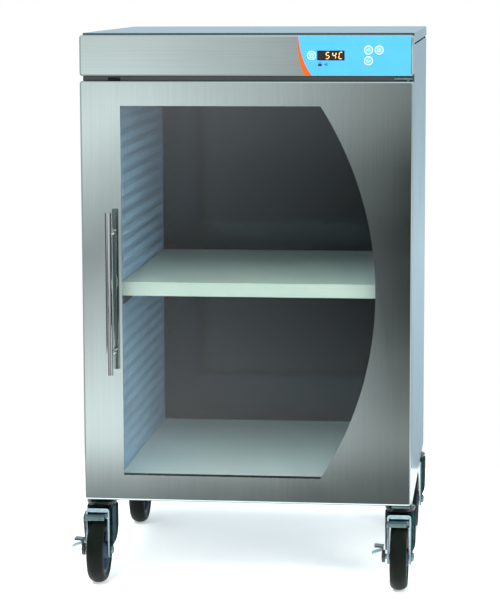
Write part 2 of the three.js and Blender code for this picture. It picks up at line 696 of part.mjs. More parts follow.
// The window's outline, straight on three sides and an arc on the hinge side, grown by a margin.
function windowOutline(margin) {
  const half = windowHalf + margin;
  const radius = windowRadius + margin;
  const angle = Math.asin(half / radius);
  const left = -side + WINDOW_LEFT - margin;
  const centre = side - WINDOW_RIGHT - windowRadius;
  const outline = new THREE.Shape();
  outline.moveTo(left, windowMiddle - half);
  outline.lineTo(centre + radius * Math.cos(angle), windowMiddle - half);
  outline.absarc(centre, windowMiddle, radius, -angle, angle, false);
  outline.lineTo(left, windowMiddle + half);
  return outline;
}

function door() {
  const arcSteps = 20;
  const pinHole = rod(HINGE_PIN_RADIUS + FIT, "Z", doorBottom - PAST, doorTop + PAST, [hinge.x, hinge.y, 0]);
  const skinPan = bentPan(-side, side, doorBottom, doorTop, doorFront, doorBack);
  const windowCut = plate(windowOutline(0), "Y", doorFront - PAST, doorFront + 2 * SHEET, arcSteps);
  add(object, "door_skin", cut(skinPan, windowCut, pinHole), steel);

  const glassFront = doorFront + SHEET + FIT;
  const glassBack = glassFront + GLASS_THICKNESS;
  add(object, "door_glass", plate(windowOutline(GLASS_LAP), "Y", glassFront, glassBack, arcSteps), glazing);

  const inset = SHEET + FIT;
  const linerFront = doorBack - SHEET;
  const sheetOutline = rectangle(
    -side + inset, side - inset, doorBottom + inset, doorTop - inset, CORNER_RADIUS - SHEET,
  );
  const sheet = plate(sheetOutline, "Y", linerFront, doorBack);
  const channel = plate(windowOutline(WINDOW_CHANNEL + SHEET), "Y", glassBack + FIT, doorBack, arcSteps);
  const opening = plate(windowOutline(WINDOW_CHANNEL), "Y", glassFront, doorBack + PAST, arcSteps);
  add(object, "door_liner", cut(join(sheet, channel), opening), steel);

  const inner = rectangle(
    -mouth - GASKET_LAP, mouth + GASKET_LAP, chamberFloor - GASKET_LAP, chamberTop + GASKET_LAP,
  );
  const reach = GASKET_LAP + GASKET_WIDTH;
  const ring = rectangle(-mouth - reach, mouth + reach, chamberFloor - reach, chamberTop + reach);
  ring.holes.push(inner);
  add(object, "door_gasket", plate(ring, "Y", doorBack + FIT, bodyFront - FIT), rubber);

  const barX = -side + HANDLE_LEFT;
  const barY = doorFront - HANDLE_REACH + HANDLE_RADIUS;
  const barZ = doorBottom + HANDLE_RISE;
  const bar = rod(HANDLE_RADIUS, "Z", -HANDLE_LENGTH / 2, HANDLE_LENGTH / 2, [barX, barY, barZ], 16);
  const posts = [-1, 1].map((end) =>
    rod(HANDLE_POST_RADIUS, "Y", barY, doorFront - FIT, [barX, 0, barZ + (end * HANDLE_CENTRES) / 2]),
  );
  add(object, "door_handle", join(bar, ...posts), polished);
}

function hingesAndCatch() {
  const clear = (HEADER_GAP - HINGE_PLATE) / 2;
  const places = [
    ["hinge_bracket_top", doorTop + clear, doorTop - HINGE_PIN_DEPTH],
    ["hinge_bracket_bottom", doorBottom - clear - HINGE_PLATE, doorBottom + HINGE_PIN_DEPTH],
  ];
  for (const [name, plateZ, pinEnd] of places) {
    const arm = box(
      hinge.x - HINGE_PLATE_LEFT, hinge.x + HINGE_PLATE_RIGHT, hinge.y - HINGE_PLATE_FRONT, bodyFront - FIT,
      plateZ, plateZ + HINGE_PLATE,
    );
    const [from, to] = [pinEnd, plateZ + HINGE_PLATE / 2].sort((a, b) => a - b);
    add(object, name, join(arm, rod(HINGE_PIN_RADIUS, "Z", from, to, [hinge.x, hinge.y, 0])), zinc);
  }

  const [magnetX, magnetZ] = MAGNET_SIZE;
  const left = -side + MAGNET_LEFT;
  const top = doorTop + MAGNET_RISE;
  const magnet = box(left, left + magnetX, doorBack + 2 * FIT, bodyFront - FIT, top - magnetZ, top);
  add(object, "door_magnet", magnet, blackPlastic);
}

// Casters, all alike, with a brake on the front pair
const casterPlaces = [
  { tag: "front_left", x: -side + CASTER_INSET_X, y: doorFront + CASTER_FRONT, brake: true },
  { tag: "front_right", x: side - CASTER_INSET_X, y: doorFront + CASTER_FRONT, brake: true },
  { tag: "rear_left", x: -side + CASTER_INSET_X, y: bodyBack - CASTER_REAR, brake: false },
  { tag: "rear_right", x: side - CASTER_INSET_X, y: bodyBack - CASTER_REAR, brake: false },
];
const legOut = FORK_INSIDE / 2 + FORK_SHEET;
const armOut = legOut + FIT + ARM_SHEET;

// The swivel axis is the caster's own Z axis, and the axle lies ahead of it.
function caster({ tag, x, y, brake }) {
  const group = new THREE.Group();
  group.position.set(x, y, 0);
  object.add(group);
  const axle = [0, -TRAIL, axleZ];

  const stem = [
    [0, collarTop + STEM_LENGTH], [STEM_RADIUS, collarTop + STEM_LENGTH], [STEM_RADIUS, collarTop],
    [COLLAR_RADIUS, collarTop], [COLLAR_RADIUS, capTop], [CAP_TOP_RADIUS, capTop],
    [CAP_RADIUS, capTop - CAP_HEIGHT / 2], [CAP_RADIUS, capUnder], [0, capUnder],
  ];
  add(group, `caster_stem_${tag}`, turned(stem, "Z", 16), darkSteel);
  add(group, `caster_fork_${tag}`, fork(axle), zinc);
  add(group, `wheel_axle_${tag}`, axleBolt(axle, brake), zinc);
  add(group, `wheel_tyre_${tag}`, tyre(axle), rubber);
  add(group, `wheel_hub_${tag}`, hub(axle), hubPlastic);
  if (brake) {
    add(group, `brake_shoe_${tag}`, brakeShoe(), zinc);
    add(group, `brake_lever_${tag}`, brakeLever(axle), zinc);
  }
}

// A bent sheet: a round crown under the bearing, and two legs that close in ahead of it towards the wheel.
function fork(axle) {
  const nose = -TRAIL - LEG_NOSE;
  const inside = FORK_INSIDE / 2;
  const wide = FORK_CROWN_RADIUS;
  const side = new THREE.Shape();
  side.moveTo(nose, forkTop);
  side.lineTo(nose, axleZ);
  side.absarc(-TRAIL, axleZ, LEG_NOSE, Math.PI, 2 * Math.PI, false);
  side.quadraticCurveTo(FORK_REAR, axleZ + LEG_NOSE, FORK_REAR, (axleZ + forkTop) / 2);
  side.lineTo(FORK_REAR, forkTop);
  const strip = (way) => polygon([
    [way * inside, nose], [way * legOut, nose], [way * legOut, -FORK_FLARE], [way * wide, 0],
    [way * wide, FORK_REAR], [way * (wide - FORK_SHEET), FORK_REAR], [way * (wide - FORK_SHEET), 0],
    [way * inside, -FORK_FLARE],
  ]);
  const bottom = axleZ - LEG_NOSE - PAST;
  const profile = plate(side, "X", -wide - PAST, wide + PAST);
  const legs = [-1, 1].map((way) => meet(plate(strip(way), "Z", bottom, forkTop), profile));
  const plan = new THREE.Shape();
  plan.moveTo(-legOut, nose);
  plan.lineTo(legOut, nose);
  plan.lineTo(legOut, -FORK_FLARE);
  plan.lineTo(wide, 0);
  plan.absarc(0, 0, wide, 0, Math.PI, false);
  plan.lineTo(-legOut, -FORK_FLARE);
  const crown = plate(plan, "Z", forkUnder, forkTop);
  const lip = box(-inside - PAST, inside + PAST, nose, nose + FORK_SHEET, forkUnder - FORK_LIP, forkTop);
  const race = rod(RACE_RADIUS, "Z", forkUnder, raceTop, [0, 0, 0], 16);
  const bore = rod(AXLE_RADIUS + FIT, "X", -wide - PAST, wide + PAST, axle);
  return cut(join(...legs, crown, lip, race), bore);
}

function axleBolt(axle, brake) {
  const right = legOut + FIT;
  const collar = armOut + FIT;
  const left = brake ? collar + FIT + LEVER_SEAT + FIT : right;
  const [headEnd, nutEnd] = [-left - AXLE_HEAD_LENGTH, right + AXLE_HEAD_LENGTH];
  const profile = [
    [0, headEnd], [AXLE_HEAD_RADIUS, headEnd], [AXLE_HEAD_RADIUS, -left], [AXLE_RADIUS, -left],
    [AXLE_RADIUS, right], [AXLE_HEAD_RADIUS, right], [AXLE_HEAD_RADIUS, nutEnd], [0, nutEnd],
  ];
  const bolt = turned(profile, "X", 12, axle);
  if (!brake) return bolt;
  return join(bolt, rod(AXLE_HEAD_RADIUS, "X", -collar, -right, axle));
}

// A closed profile from its right-hand half.
function bothSides(rightSide) {
  const leftSide = rightSide.map(([radius, along]) => [radius, -along]).reverse();
  return [...leftSide, ...rightSide, leftSide[0]];
}

function tyre(axle) {
  const half = TREAD_WIDTH / 2;
  const [shoulderDrop, shoulderInset] = SHOULDER;
  const rightSide = [
    [WHEEL_RADIUS, half - TREAD_CROWN], [WHEEL_RADIUS - shoulderDrop, half - shoulderInset],
    [WHEEL_RADIUS - SIDEWALL_DROP, half], [WHEEL_RADIUS - TYRE_BAND, half - RIM_INSET],
  ];
  return turned(bothSides(rightSide), "X", WHEEL_SIDES, axle);
}

function hub(axle) {
  const half = HUB_WIDTH / 2;
  const rim = (WHEEL_RADIUS - TYRE_BAND - FIT) * Math.cos(Math.PI / WHEEL_SIDES);
  const rimHalf = TREAD_WIDTH / 2 - HUB_RIM_INSET;
  const [bossEnd, bossRoot] = HUB_BOSS;
  const rightSide = [
    [rim, rimHalf], [rim - HUB_LIP, rimHalf], [rim - HUB_DISH, HUB_WEB], [bossRoot, HUB_WEB],
    [bossEnd, half], [AXLE_RADIUS + FIT, half],
  ];
  return turned(bothSides(rightSide), "X", 16, axle);
}

// A pad with a straight front lip over the top of the tread, carried by an arm that lies on the left leg.
function brakeShoe() {
  const inner = WHEEL_RADIUS + SHOE_GAP;
  const [start, end] = [SHOE_START, SHOE_END].map(THREE.MathUtils.degToRad);
  const around = (radius, angle) => [-TRAIL + radius * Math.cos(angle), axleZ + radius * Math.sin(angle)];
  const [lipThickness, lipHeight] = SHOE_LIP;
  const [innerY, lipZ] = around(inner, end);
  const lipY = innerY - lipThickness;
  const rear = [around(inner, start)[0], forkUnder - SHOE_CROWN_GAP];
  const hood = [[lipY, lipZ], [lipY, lipZ + lipHeight], rear];
  const pad = new THREE.Shape();
  pad.moveTo(...around(inner, start));
  pad.absarc(-TRAIL, axleZ, inner, start, end, false);
  hood.forEach(([y, z]) => pad.lineTo(y, z));
  const foot = axleZ + LEVER_HUB_RADIUS + ARM_FOOT_GAP;
  const arm = polygon([
    rear, [lipY, lipZ + lipHeight], [lipY, lipZ],
    [-TRAIL - ARM_FOOT_HALF, foot], [-TRAIL + ARM_FOOT_HALF, foot],
  ]);
  const shoe = join(
    plate(pad, "X", -armOut, TREAD_WIDTH / 2 - SHOE_INSET, 4),
    plate(arm, "X", -armOut, -legOut - FIT),
  );
  const legFront = -TRAIL - LEG_NOSE - 2 * FIT;
  const legRoom = box(-legOut - FIT, -FORK_INSIDE / 2 + FIT, legFront, FORK_REAR, axleZ, forkTop);
  return cut(shoe, legRoom);
}

// A pedal of two tongues, one above the other, on a hub that turns on the axle's left end.
function brakeLever(axle) {
  const start = armOut + 2 * FIT;
  const stop = start + LEVER_HUB_LENGTH;
  const root = start + LEVER_SHEET;
  const [front, back] = [-TRAIL - LEVER_FRONT, -TRAIL + LEVER_BACK];
  const ring = rod(LEVER_HUB_RADIUS, "X", -stop, -start, axle, 16);
  const web = box(-root - LEVER_SHEET, -root, front, back, axleZ, axleZ + Math.max(...LEVER_ROOTS));
  const tongues = LEVER_ROOTS.map((rootRise, place) => {
    const reach = LEVER_REACH - place * LEVER_SHORT;
    const upper = [[-root, axleZ + rootRise], [-reach, axleZ + LEVER_TIPS[place]]];
    const lower = upper.map(([x, z]) => [x, z - LEVER_SHEET]).reverse();
    return plate(polygon([...upper, ...lower]), "Y", front, back);
  });
  const bore = rod(AXLE_RADIUS + FIT, "X", -stop - PAST, 0, axle);
  const headRoom = rod(AXLE_HEAD_RADIUS + FIT, "X", -stop - PAST, -start - LEVER_SEAT, axle, 16);
  return cut(join(ring, web, ...tongues), bore, headRoom);
}

outerShell();
chamberWalls();
chamberFurniture();
headerAndControls();
door();
hingesAndCatch();
casterPlaces.forEach(caster);

// The front left lever reaches out further than the casters on the right do.
object.position.x = (LEVER_REACH - CAP_RADIUS) / 2;

export default object;
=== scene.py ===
"""Looks of a blanket warming cabinet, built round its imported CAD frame. Metres, +Z up, front towards -Y."""

import math

import bmesh
import bpy
from mathutils import Matrix, Vector

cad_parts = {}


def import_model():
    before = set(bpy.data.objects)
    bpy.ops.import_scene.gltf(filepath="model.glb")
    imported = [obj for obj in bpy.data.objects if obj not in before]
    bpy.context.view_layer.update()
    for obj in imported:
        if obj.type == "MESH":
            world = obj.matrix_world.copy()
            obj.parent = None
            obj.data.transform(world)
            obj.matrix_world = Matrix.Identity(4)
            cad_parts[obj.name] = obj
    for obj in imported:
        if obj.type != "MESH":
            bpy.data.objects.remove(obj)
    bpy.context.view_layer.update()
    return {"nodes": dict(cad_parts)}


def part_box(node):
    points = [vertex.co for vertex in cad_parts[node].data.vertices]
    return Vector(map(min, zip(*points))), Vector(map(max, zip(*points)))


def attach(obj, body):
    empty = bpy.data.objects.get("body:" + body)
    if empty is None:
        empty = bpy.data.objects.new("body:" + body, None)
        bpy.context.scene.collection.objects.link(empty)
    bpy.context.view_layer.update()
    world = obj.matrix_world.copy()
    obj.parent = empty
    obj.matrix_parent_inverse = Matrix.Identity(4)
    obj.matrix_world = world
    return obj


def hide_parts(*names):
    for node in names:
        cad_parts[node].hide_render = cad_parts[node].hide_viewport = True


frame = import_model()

scene = bpy.context.scene

# Casters
TAGS = ("front_left", "front_right", "rear_left", "rear_right")
BRAKED = ("front_left", "front_right")
AXLE_Z = 0.062957
TRAIL = 0.035
WHEEL_RADIUS = AXLE_Z
HUB_RIBS = 8
TREAD_HALF = 0.016
FORK_TOP = 0.146457
FORK_SHEET = 0.0032
FORK_OUT = 0.0227
FORK_WIDE = 0.029
FORK_FLARE = 0.022
FORK_BEND = 0.006
FORK_REAR = 0.017
FORK_LIP = 0.0046
FORK_COLUMNS = 16
LEG_NOSE = 0.015
RACE_TOP = 0.149857
CAP_UNDER = 0.150157
CAP_TOP = 0.155357
BASE_Z = 0.157457
THREAD_TURNS = 18
THREAD_PITCH = 0.0015
ARM_OUT = 0.0260
LEVER_START = ARM_OUT + 0.0006
LEVER_STOP = LEVER_START + 0.0065
LEVER_SEAT = 0.0020
LEVER_LIMITS = (-TRAIL - 0.014, -TRAIL + 0.009)
# Each tongue's reach from the wheel's middle, and its height over the axle at the web and at its tip
LOWER_TONGUE = (0.052, 0.016, 0.008)
UPPER_TONGUE = (0.047, 0.022, 0.023)

# Gap between pieces that touch
FIT = 0.0003

# Front planes
DOOR_FRONT = -0.312
OVERLAY_FRONT = -0.313
OVERLAY_BACK = -0.3123


# Node helpers
class Nodes:
    """The node tree of a material or of the world."""

    def __init__(self, owner):
        owner.use_nodes = True
        self.nodes = owner.node_tree.nodes
        self.links = owner.node_tree.links

    def add(self, kind, inputs=None, **settings):
        node = self.nodes.new(kind)
        for key, value in settings.items():
            setattr(node, key, value)
        for key, value in (inputs or {}).items():
            if isinstance(value, bpy.types.NodeSocket):
                self.links.new(value, node.inputs[key])
            else:
                node.inputs[key].default_value = value
        return node

    def reach(self, value, start, end, low=0.0, high=1.0):
        """A number that goes from low to high while a value goes from start to end."""
        inputs = {"Value": value, "From Min": start, "From Max": end, "To Min": low, "To Max": high}
        return self.add("ShaderNodeMapRange", inputs).outputs["Result"]


# Noise values between which colours and numbers drift
RAMP_ENDS = (0.3, 0.7)
SPAN_ENDS = (0.25, 0.75)


class Shader(Nodes):
    """A node material whose Principled shader is set by socket name."""

    def __init__(self, name, **sockets):
        self.material = bpy.data.materials.new(name)
        super().__init__(self.material)
        self.main = self.nodes["Principled BSDF"]
        for socket, value in sockets.items():
            self.main.inputs[socket.replace("_", " ")].default_value = value

    def place(self, scale):
        """Object coordinates stretched by a scale for each axis."""
        coordinates = self.add("ShaderNodeTexCoord")
        mapped = self.add("ShaderNodeMapping", {"Vector": coordinates.outputs["Object"], "Scale": scale})
        return mapped.outputs["Vector"]

    def noise(self, scale, detail, roughness=0.55):
        inputs = {"Vector": self.place(scale), "Scale": 1.0, "Detail": detail, "Roughness": roughness}
        return self.add("ShaderNodeTexNoise", inputs).outputs["Fac"]

    def ramp(self, value, low, high):
        """A colour that drifts with a noise value."""
        node = self.add("ShaderNodeValToRGB", {"Fac": value})
        for stop, place, colour in zip(node.color_ramp.elements, RAMP_ENDS, (low, high)):
            stop.position = place
            stop.color = (*colour, 1)
        return node.outputs["Color"]

    def span(self, value, low, high):
        """A number that drifts with a noise value."""
        return self.reach(value, *SPAN_ENDS, low, high)

    def feed(self, socket, output):
        self.links.new(output, self.main.inputs[socket])

    def bump(self, height, strength, distance):
        inputs = {"Height": height, "Strength": strength, "Distance": distance}
        self.feed("Normal", self.add("ShaderNodeBump", inputs).outputs["Normal"])


def tinted(colour, factor):
    return tuple(min(1.0, c * factor) for c in colour)


# Materials
GRAIN = {"across": (3.0, 900.0, 900.0), "upright": (900.0, 900.0, 3.0), "deep": (900.0, 3.0, 900.0)}


def brushed_steel(name, colour, grain, roughness=(0.24, 0.34), smudge=0.07, **sockets):
    """Satin sheet steel: hairline grain one way, with slow cloudy smudges over it."""
    shader = Shader(name, **{"Metallic": 1.0, **sockets})
    lines = shader.noise(GRAIN[grain], detail=4.0, roughness=0.7)
    clouds = shader.noise((7.0, 7.0, 7.0), detail=2.0)
    fine = shader.ramp(lines, tinted(colour, 0.95), tinted(colour, 1.05))
    cloudy = shader.ramp(clouds, (1.0 - smudge,) * 3, (1.0, 1.0, 1.0))
    inputs = {"Factor": 1.0, "A": fine, "B": cloudy}
    mixed = shader.add("ShaderNodeMix", inputs, data_type="RGBA", blend_type="MULTIPLY")
    shader.feed("Base Color", mixed.outputs["Result"])
    shader.feed("Roughness", shader.span(clouds, *roughness))
    shader.bump(lines, 0.05, 0.0002)
    return shader.material


def plated_steel(name, colour, roughness=(0.26, 0.42), **sockets):
    """Zinc plate with small bright and dull patches."""
    shader = Shader(name, **{"Metallic": 1.0, **sockets})
    patches = shader.noise((160.0, 160.0, 160.0), detail=4.0)
    shader.feed("Base Color", shader.ramp(patches, tinted(colour, 0.8), tinted(colour, 1.2)))
    shader.feed("Roughness", shader.span(patches, *roughness))
    shader.bump(patches, 0.06, 0.0004)
    return shader.material


def moulded(name, colour, roughness=(0.4, 0.5), grain=900.0, depth=0.00015, shade=(0.88, 1.1), **sockets):
    """Moulded plastic or rubber: fine pebbled skin and slight colour drift."""
    shader = Shader(name, **sockets)
    drift = shader.noise((25.0, 25.0, 25.0), detail=2.0)
    pebble = shader.noise((grain, grain, grain), detail=2.0)
    shader.feed("Base Color", shader.ramp(drift, tinted(colour, shade[0]), tinted(colour, shade[1])))
    shader.feed("Roughness", shader.span(drift, *roughness))
    shader.bump(pebble, 0.25, depth)
    return shader.material


def clear_glass():
    shader = Shader("window_glass", IOR=1.46, Transmission_Weight=1.0, Specular_IOR_Level=0.2)
    wipe = shader.noise((4.0, 4.0, 9.0), detail=3.0)
    shader.feed("Base Color", shader.ramp(wipe, (0.90, 0.97, 0.96), (0.95, 0.99, 0.985)))
    shader.feed("Roughness", shader.span(wipe, 0.0, 0.03))
    return shader.material


def glowing(name, colour, strength):
    shader = Shader(name, Roughness=0.4, Emission_Strength=strength)
    flicker = shader.noise((900.0, 900.0, 900.0), detail=1.0)
    shader.feed("Base Color", shader.ramp(flicker, tinted(colour, 0.8), colour))
    shader.feed("Emission Color", shader.ramp(flicker, tinted(colour, 0.85), colour))
    return shader.material


def fibre_wool():
    shader = Shader("mineral_wool", Roughness=0.95, Sheen_Weight=0.3)
    fibres = shader.noise((60.0, 60.0, 400.0), detail=6.0, roughness=0.7)
    shader.feed("Base Color", shader.ramp(fibres, (0.52, 0.42, 0.20), (0.82, 0.74, 0.48)))
    shader.bump(fibres, 0.6, 0.003)
    return shader.material


def board_resin():
    """Green board with paler copper runs."""
    shader = Shader("circuit_board", Roughness=0.45)
    runs = shader.add("ShaderNodeTexVoronoi", {"Vector": shader.place((300.0, 300.0, 300.0)), "Scale": 1.0})
    green = shader.ramp(runs.outputs["Distance"], (0.03, 0.16, 0.06), (0.008, 0.07, 0.025))
    shader.feed("Base Color", green)
    return shader.material


STEEL = (0.52, 0.62, 0.61)
door_steel = brushed_steel("door_steel", STEEL, "upright", (0.05, 0.08), 0.04)
header_steel = brushed_steel("header_steel", STEEL, "across", (0.05, 0.08), 0.04)
panel_steel = brushed_steel("panel_steel", (0.50, 0.58, 0.61), "upright", (0.16, 0.24))
cover_steel = brushed_steel("cover_steel", (0.50, 0.58, 0.61), "deep", (0.16, 0.24))
chamber_steel = brushed_steel("chamber_steel", (0.30, 0.36, 0.37), "upright", (0.10, 0.16), 0.05)
# Painted shade: the back wall is a near-black copy of the chamber steel, for the shade deep in the chamber.
back_steel_painted_shade = brushed_steel("back_steel_painted_shade", (0.026, 0.040, 0.046), "upright", (0.08, 0.12), 0.05)
# Painted shade: the front frame is a dark copy of the steel, so the narrow gaps round the door look shaded.
frame_steel_painted_shade = brushed_steel("frame_steel_painted_shade", (0.15, 0.17, 0.165), "upright", (0.2, 0.3))
# Painted light: the slotted walls' bright blue colour stands in for blue light falling on and reflected by
# the steel.
slotted_steel_painted_blue_light = brushed_steel("slotted_steel_painted_blue_light", (0.47, 0.72, 1.0), "upright", (0.35, 0.45), Metallic=0.3)
# Painted light: the shelf and the chamber floor are pale, hardly metallic copies of the liner steel, and the
# floor is paler still, for the light on their tops.
shelf_steel_painted_light = brushed_steel("shelf_steel_painted_light", (0.73, 0.85, 0.75), "across", (0.45, 0.6), 0.04, Metallic=0.1)
floor_steel_painted_light = brushed_steel("floor_steel_painted_light", (0.86, 0.95, 0.93), "across", (0.45, 0.6), 0.04, Metallic=0.1)
bar_steel = brushed_steel("bar_steel", (0.47, 0.48, 0.47), "across", (0.05, 0.08), 0.03)
zinc = plated_steel("zinc_plate", (0.25, 0.35, 0.365), Specular_Tint=(0.06, 0.09, 0.095, 1))
# Lit and shaded copies of the zinc plate: the fork's faces take a darker copy, painted shade on its sides,
# and its cut edges and front lip a paler, partly unmetallic copy, a painted highlight.
fork_zinc_painted_shade = plated_steel("fork_zinc_painted_shade", (0.09, 0.135, 0.14), Specular_Tint=(0.06, 0.09, 0.095, 1))
edge_zinc_painted_highlight = plated_steel("edge_zinc_painted_highlight", (0.30, 0.42, 0.47), (0.35, 0.5), Metallic=0.2)
pedal_plate = plated_steel("pedal_plate", (0.55, 0.68, 0.68))
black_steel = moulded("black_steel", (0.022, 0.023, 0.023), (0.16, 0.28), 400.0, 0.0001, Coat_Weight=0.4)
tyre_rubber = moulded("tyre_rubber", (0.003, 0.005, 0.003), (0.4, 0.55), 1200.0, 0.0002,
                      Specular_IOR_Level=0.12)
hub_plastic = moulded("hub_plastic", (0.035, 0.052, 0.09), (0.38, 0.5), Specular_IOR_Level=0.2)
black_plastic = moulded("black_plastic", (0.02, 0.02, 0.02), (0.4, 0.55))
gasket_rubber = moulded("gasket_rubber", (0.035, 0.036, 0.036), (0.55, 0.7))
cable_jacket = moulded("cable_jacket", (0.30, 0.05, 0.03), (0.45, 0.6))


def printed(name, colour):
    """Printed film: an even colour with a very fine matt tooth."""
    return moulded(name, colour, (0.3, 0.4), 1500.0, 0.00005, (0.97, 1.02))


blue_film = printed("blue_film", (0.06, 0.35, 0.75))
orange_film = printed("orange_film", (0.50, 0.085, 0.002))
key_film = printed("key_film", (0.12, 0.43, 0.78))
white_ink = printed("white_ink", (0.66, 0.76, 0.80))
navy_ink = printed("navy_ink", (0.02, 0.12, 0.36))
# Dark ink prints the padlock sign, and also paints the shade in the screws' cross recesses.
dark_ink_and_shade = printed("dark_ink_and_shade", (0.02, 0.03, 0.04))
lens_black = moulded("lens_black", (0.006, 0.006, 0.006), (0.08, 0.14), 600.0, 0.00002)
lit_amber = glowing("lit_amber", (1.0, 0.52, 0.16), 0.9)
unlit_amber = moulded("unlit_amber", (0.03, 0.015, 0.008), (0.2, 0.3), 600.0, 0.00002)
glass = clear_glass()
wool = fibre_wool()
board_green = board_resin()


# Mesh helpers
WELD_REACH = 0.00002
SOFT_STEPS = 2
SOFT_ANGLE = 40


def ring_point(axis, radius, angle, along):
    c, s = radius * math.cos(angle), radius * math.sin(angle)
    return {"X": (along, c, s), "Y": (c, along, s), "Z": (c, s, along)}[axis]


def add_lathe(bm, profile, axis="Z", centre=(0, 0, 0), sides=48):
    """A turned form from (radius, along) pairs. Points at zero radius close it on its axis."""
    rings = []
    for radius, along in profile:
        count = sides if radius > 1e-7 else 1
        angles = [2 * math.pi * k / sides for k in range(count)]
        points = [Vector(ring_point(axis, radius, angle, along)) + Vector(centre) for angle in angles]
        rings.append([bm.verts.new(point) for point in points])
    closed = len(rings[0]) > 1
    for a, b in zip(rings, rings[1:] + rings[:1] if closed else rings[1:]):
        for k in range(sides):
            n = (k + 1) % sides
            corners = [a[k % len(a)], a[n % len(a)], b[n % len(b)], b[k % len(b)]]
            unique = list(dict.fromkeys(corners))
            if len(unique) > 2:
                bm.faces.new(unique)


def add_rod(bm, radius, low, high, axis="Z", centre=(0, 0, 0), sides=48):
    """A round or many-sided bar between two levels."""
    add_lathe(bm, [(0, low), (radius, low), (radius, high), (0, high)], axis, centre, sides)


def add_loft(bm, rings, looped=False):
    """Closed rings joined in order: a loop, or a bar with closed ends."""
    made = [[bm.verts.new(point) for point in ring] for ring in rings]
    count = len(made[0])
    for a, b in zip(made, made[1:] + made[:1] if looped else made[1:]):
        for k in range(count):
            n = (k + 1) % count
            bm.faces.new([a[k], a[n], b[n], b[k]])
    if not looped:
        bm.faces.new(made[0])
        bm.faces.new(made[-1])


def add_prism(bm, outline, axis, low, high):
    """A flat outline thickened along one axis. Outlines lie in YZ, XZ or XY."""
    order = {"X": (2, 0, 1), "Y": (0, 2, 1), "Z": (0, 1, 2)}[axis]
    add_loft(bm, [[[(a, b, level)[k] for k in order] for a, b in outline] for level in (low, high)])


def add_grid(bm, rows):
    """A sheet of quads through rows of points."""
    made = [[bm.verts.new(point) for point in row] for row in rows]
    for a, b in zip(made, made[1:]):
        for k in range(len(a) - 1):
            bm.faces.new([a[k], a[k + 1], b[k + 1], b[k]])


def arc(x, z, radius, angles):
    return [(x + radius * math.cos(a), z + radius * math.sin(a)) for a in angles]


def rounded_rectangle(x0, x1, z0, z1, radius, steps=6):
    corners = [(x1 - radius, z0 + radius, -90), (x1 - radius, z1 - radius, 0),
               (x0 + radius, z1 - radius, 90), (x0 + radius, z0 + radius, 180)]
    points = []
    for cx, cz, start in corners:
        points += arc(cx, cz, radius, [math.radians(start + 90 * k / steps) for k in range(steps + 1)])
    return points


def turned(outline, angle, centre=(0, 0)):
    """An outline turned about its origin and moved to a centre."""
    c, s = math.cos(angle), math.sin(angle)
    return [(centre[0] + c * a - s * b, centre[1] + s * a + c * b) for a, b in outline]


def circle(x, z, radius, sides):
    return arc(x, z, radius, [2 * math.pi * k / sides for k in range(sides)])


def to_mesh(bm, name, material, sharp=35):
    bmesh.ops.recalc_face_normals(bm, faces=bm.faces)
    mesh = bpy.data.meshes.new(name)
    bm.to_mesh(mesh)
    bm.free()
    mesh.materials.append(material)
    mesh.shade_smooth()
    mesh.set_sharp_from_angle(angle=math.radians(sharp))
    return mesh


def put(name, mesh, body, replaces=(), at=(0, 0, 0)):
    """A new piece, in place, riding on a body."""
    obj = bpy.data.objects.new(name, mesh)
    scene.collection.objects.link(obj)
    obj.location = at
    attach(obj, body)
    if replaces:
        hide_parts(*replaces)
    return obj


def piece(name, bm, material, body, replaces=(), sharp=35):
    """A new piece whose mesh takes its name."""
    put(name, to_mesh(bm, f"{name}_mesh", material, sharp), body, replaces)


def soften(obj, width):
    """Rounds the hard edges and keeps the large faces flat."""
    edges = obj.modifiers.new("edges", "BEVEL")
    edges.width = width
    edges.segments = SOFT_STEPS
    edges.limit_method = "ANGLE"
    edges.angle_limit = math.radians(SOFT_ANGLE)
    normals = obj.modifiers.new("normals", "WEIGHTED_NORMAL")
    normals.keep_sharp = False
    return obj


def thicken(obj, thickness, offset=-1.0):
    sheet = obj.modifiers.new("sheet", "SOLIDIFY")
    sheet.thickness = thickness
    sheet.offset = offset
    sheet.use_even_offset = True
    return obj


def weld(obj):
    """Joins the corners that the CAD facets share."""
    obj.modifiers.new("weld", "WELD").merge_threshold = WELD_REACH


def dress(material, width, *nodes):
    """CAD nodes that stay as they are, with a finish and softened edges."""
    for node in nodes:
        obj = frame["nodes"][node]
        obj.data.materials.clear()
        obj.data.materials.append(material)
        obj.data.shade_smooth()
        weld(obj)
        soften(obj, width)


# Pieces carried over from CAD
def sheet_metal():
    dress(panel_steel, 0.0006, "side_panel_left", "side_panel_right")
    dress(cover_steel, 0.0008, "top_cover")
    dress(panel_steel, 0.0004, "rear_panel", "base_pan")
    # The front frame's dark steel is painted shade for the gaps round the door.
    dress(frame_steel_painted_shade, 0.0004, "front_frame")
    dress(header_steel, 0.0003, "header_fascia")
    dress(door_steel, 0.0003, "door_skin", "door_liner")
    dress(chamber_steel, 0.0003, "liner_left", "liner_right", "liner_top")
    dress(chamber_steel, 0.0003, "shelf_rail_left", "shelf_rail_right")
    # The back wall's near-black steel is painted shade.
    dress(back_steel_painted_shade, 0.0003, "liner_back")
    # The shelf and the chamber floor take pale steel that is painted light.
    dress(shelf_steel_painted_light, 0.0005, "shelf")
    dress(floor_steel_painted_light, 0.0005, "liner_floor")
    dress(glass, 0.0004, "door_glass")
    dress(zinc, 0.0006, "hinge_bracket_top", "hinge_bracket_bottom")
    dress(black_plastic, 0.0008, "door_magnet")
    dress(bar_steel, 0.0003, "temperature_probe")
    dress(board_green, 0.0002, "control_board")
    dress(black_steel, 0.0008, "power_supply")
    dress(cable_jacket, 0.0001, "heating_cable")


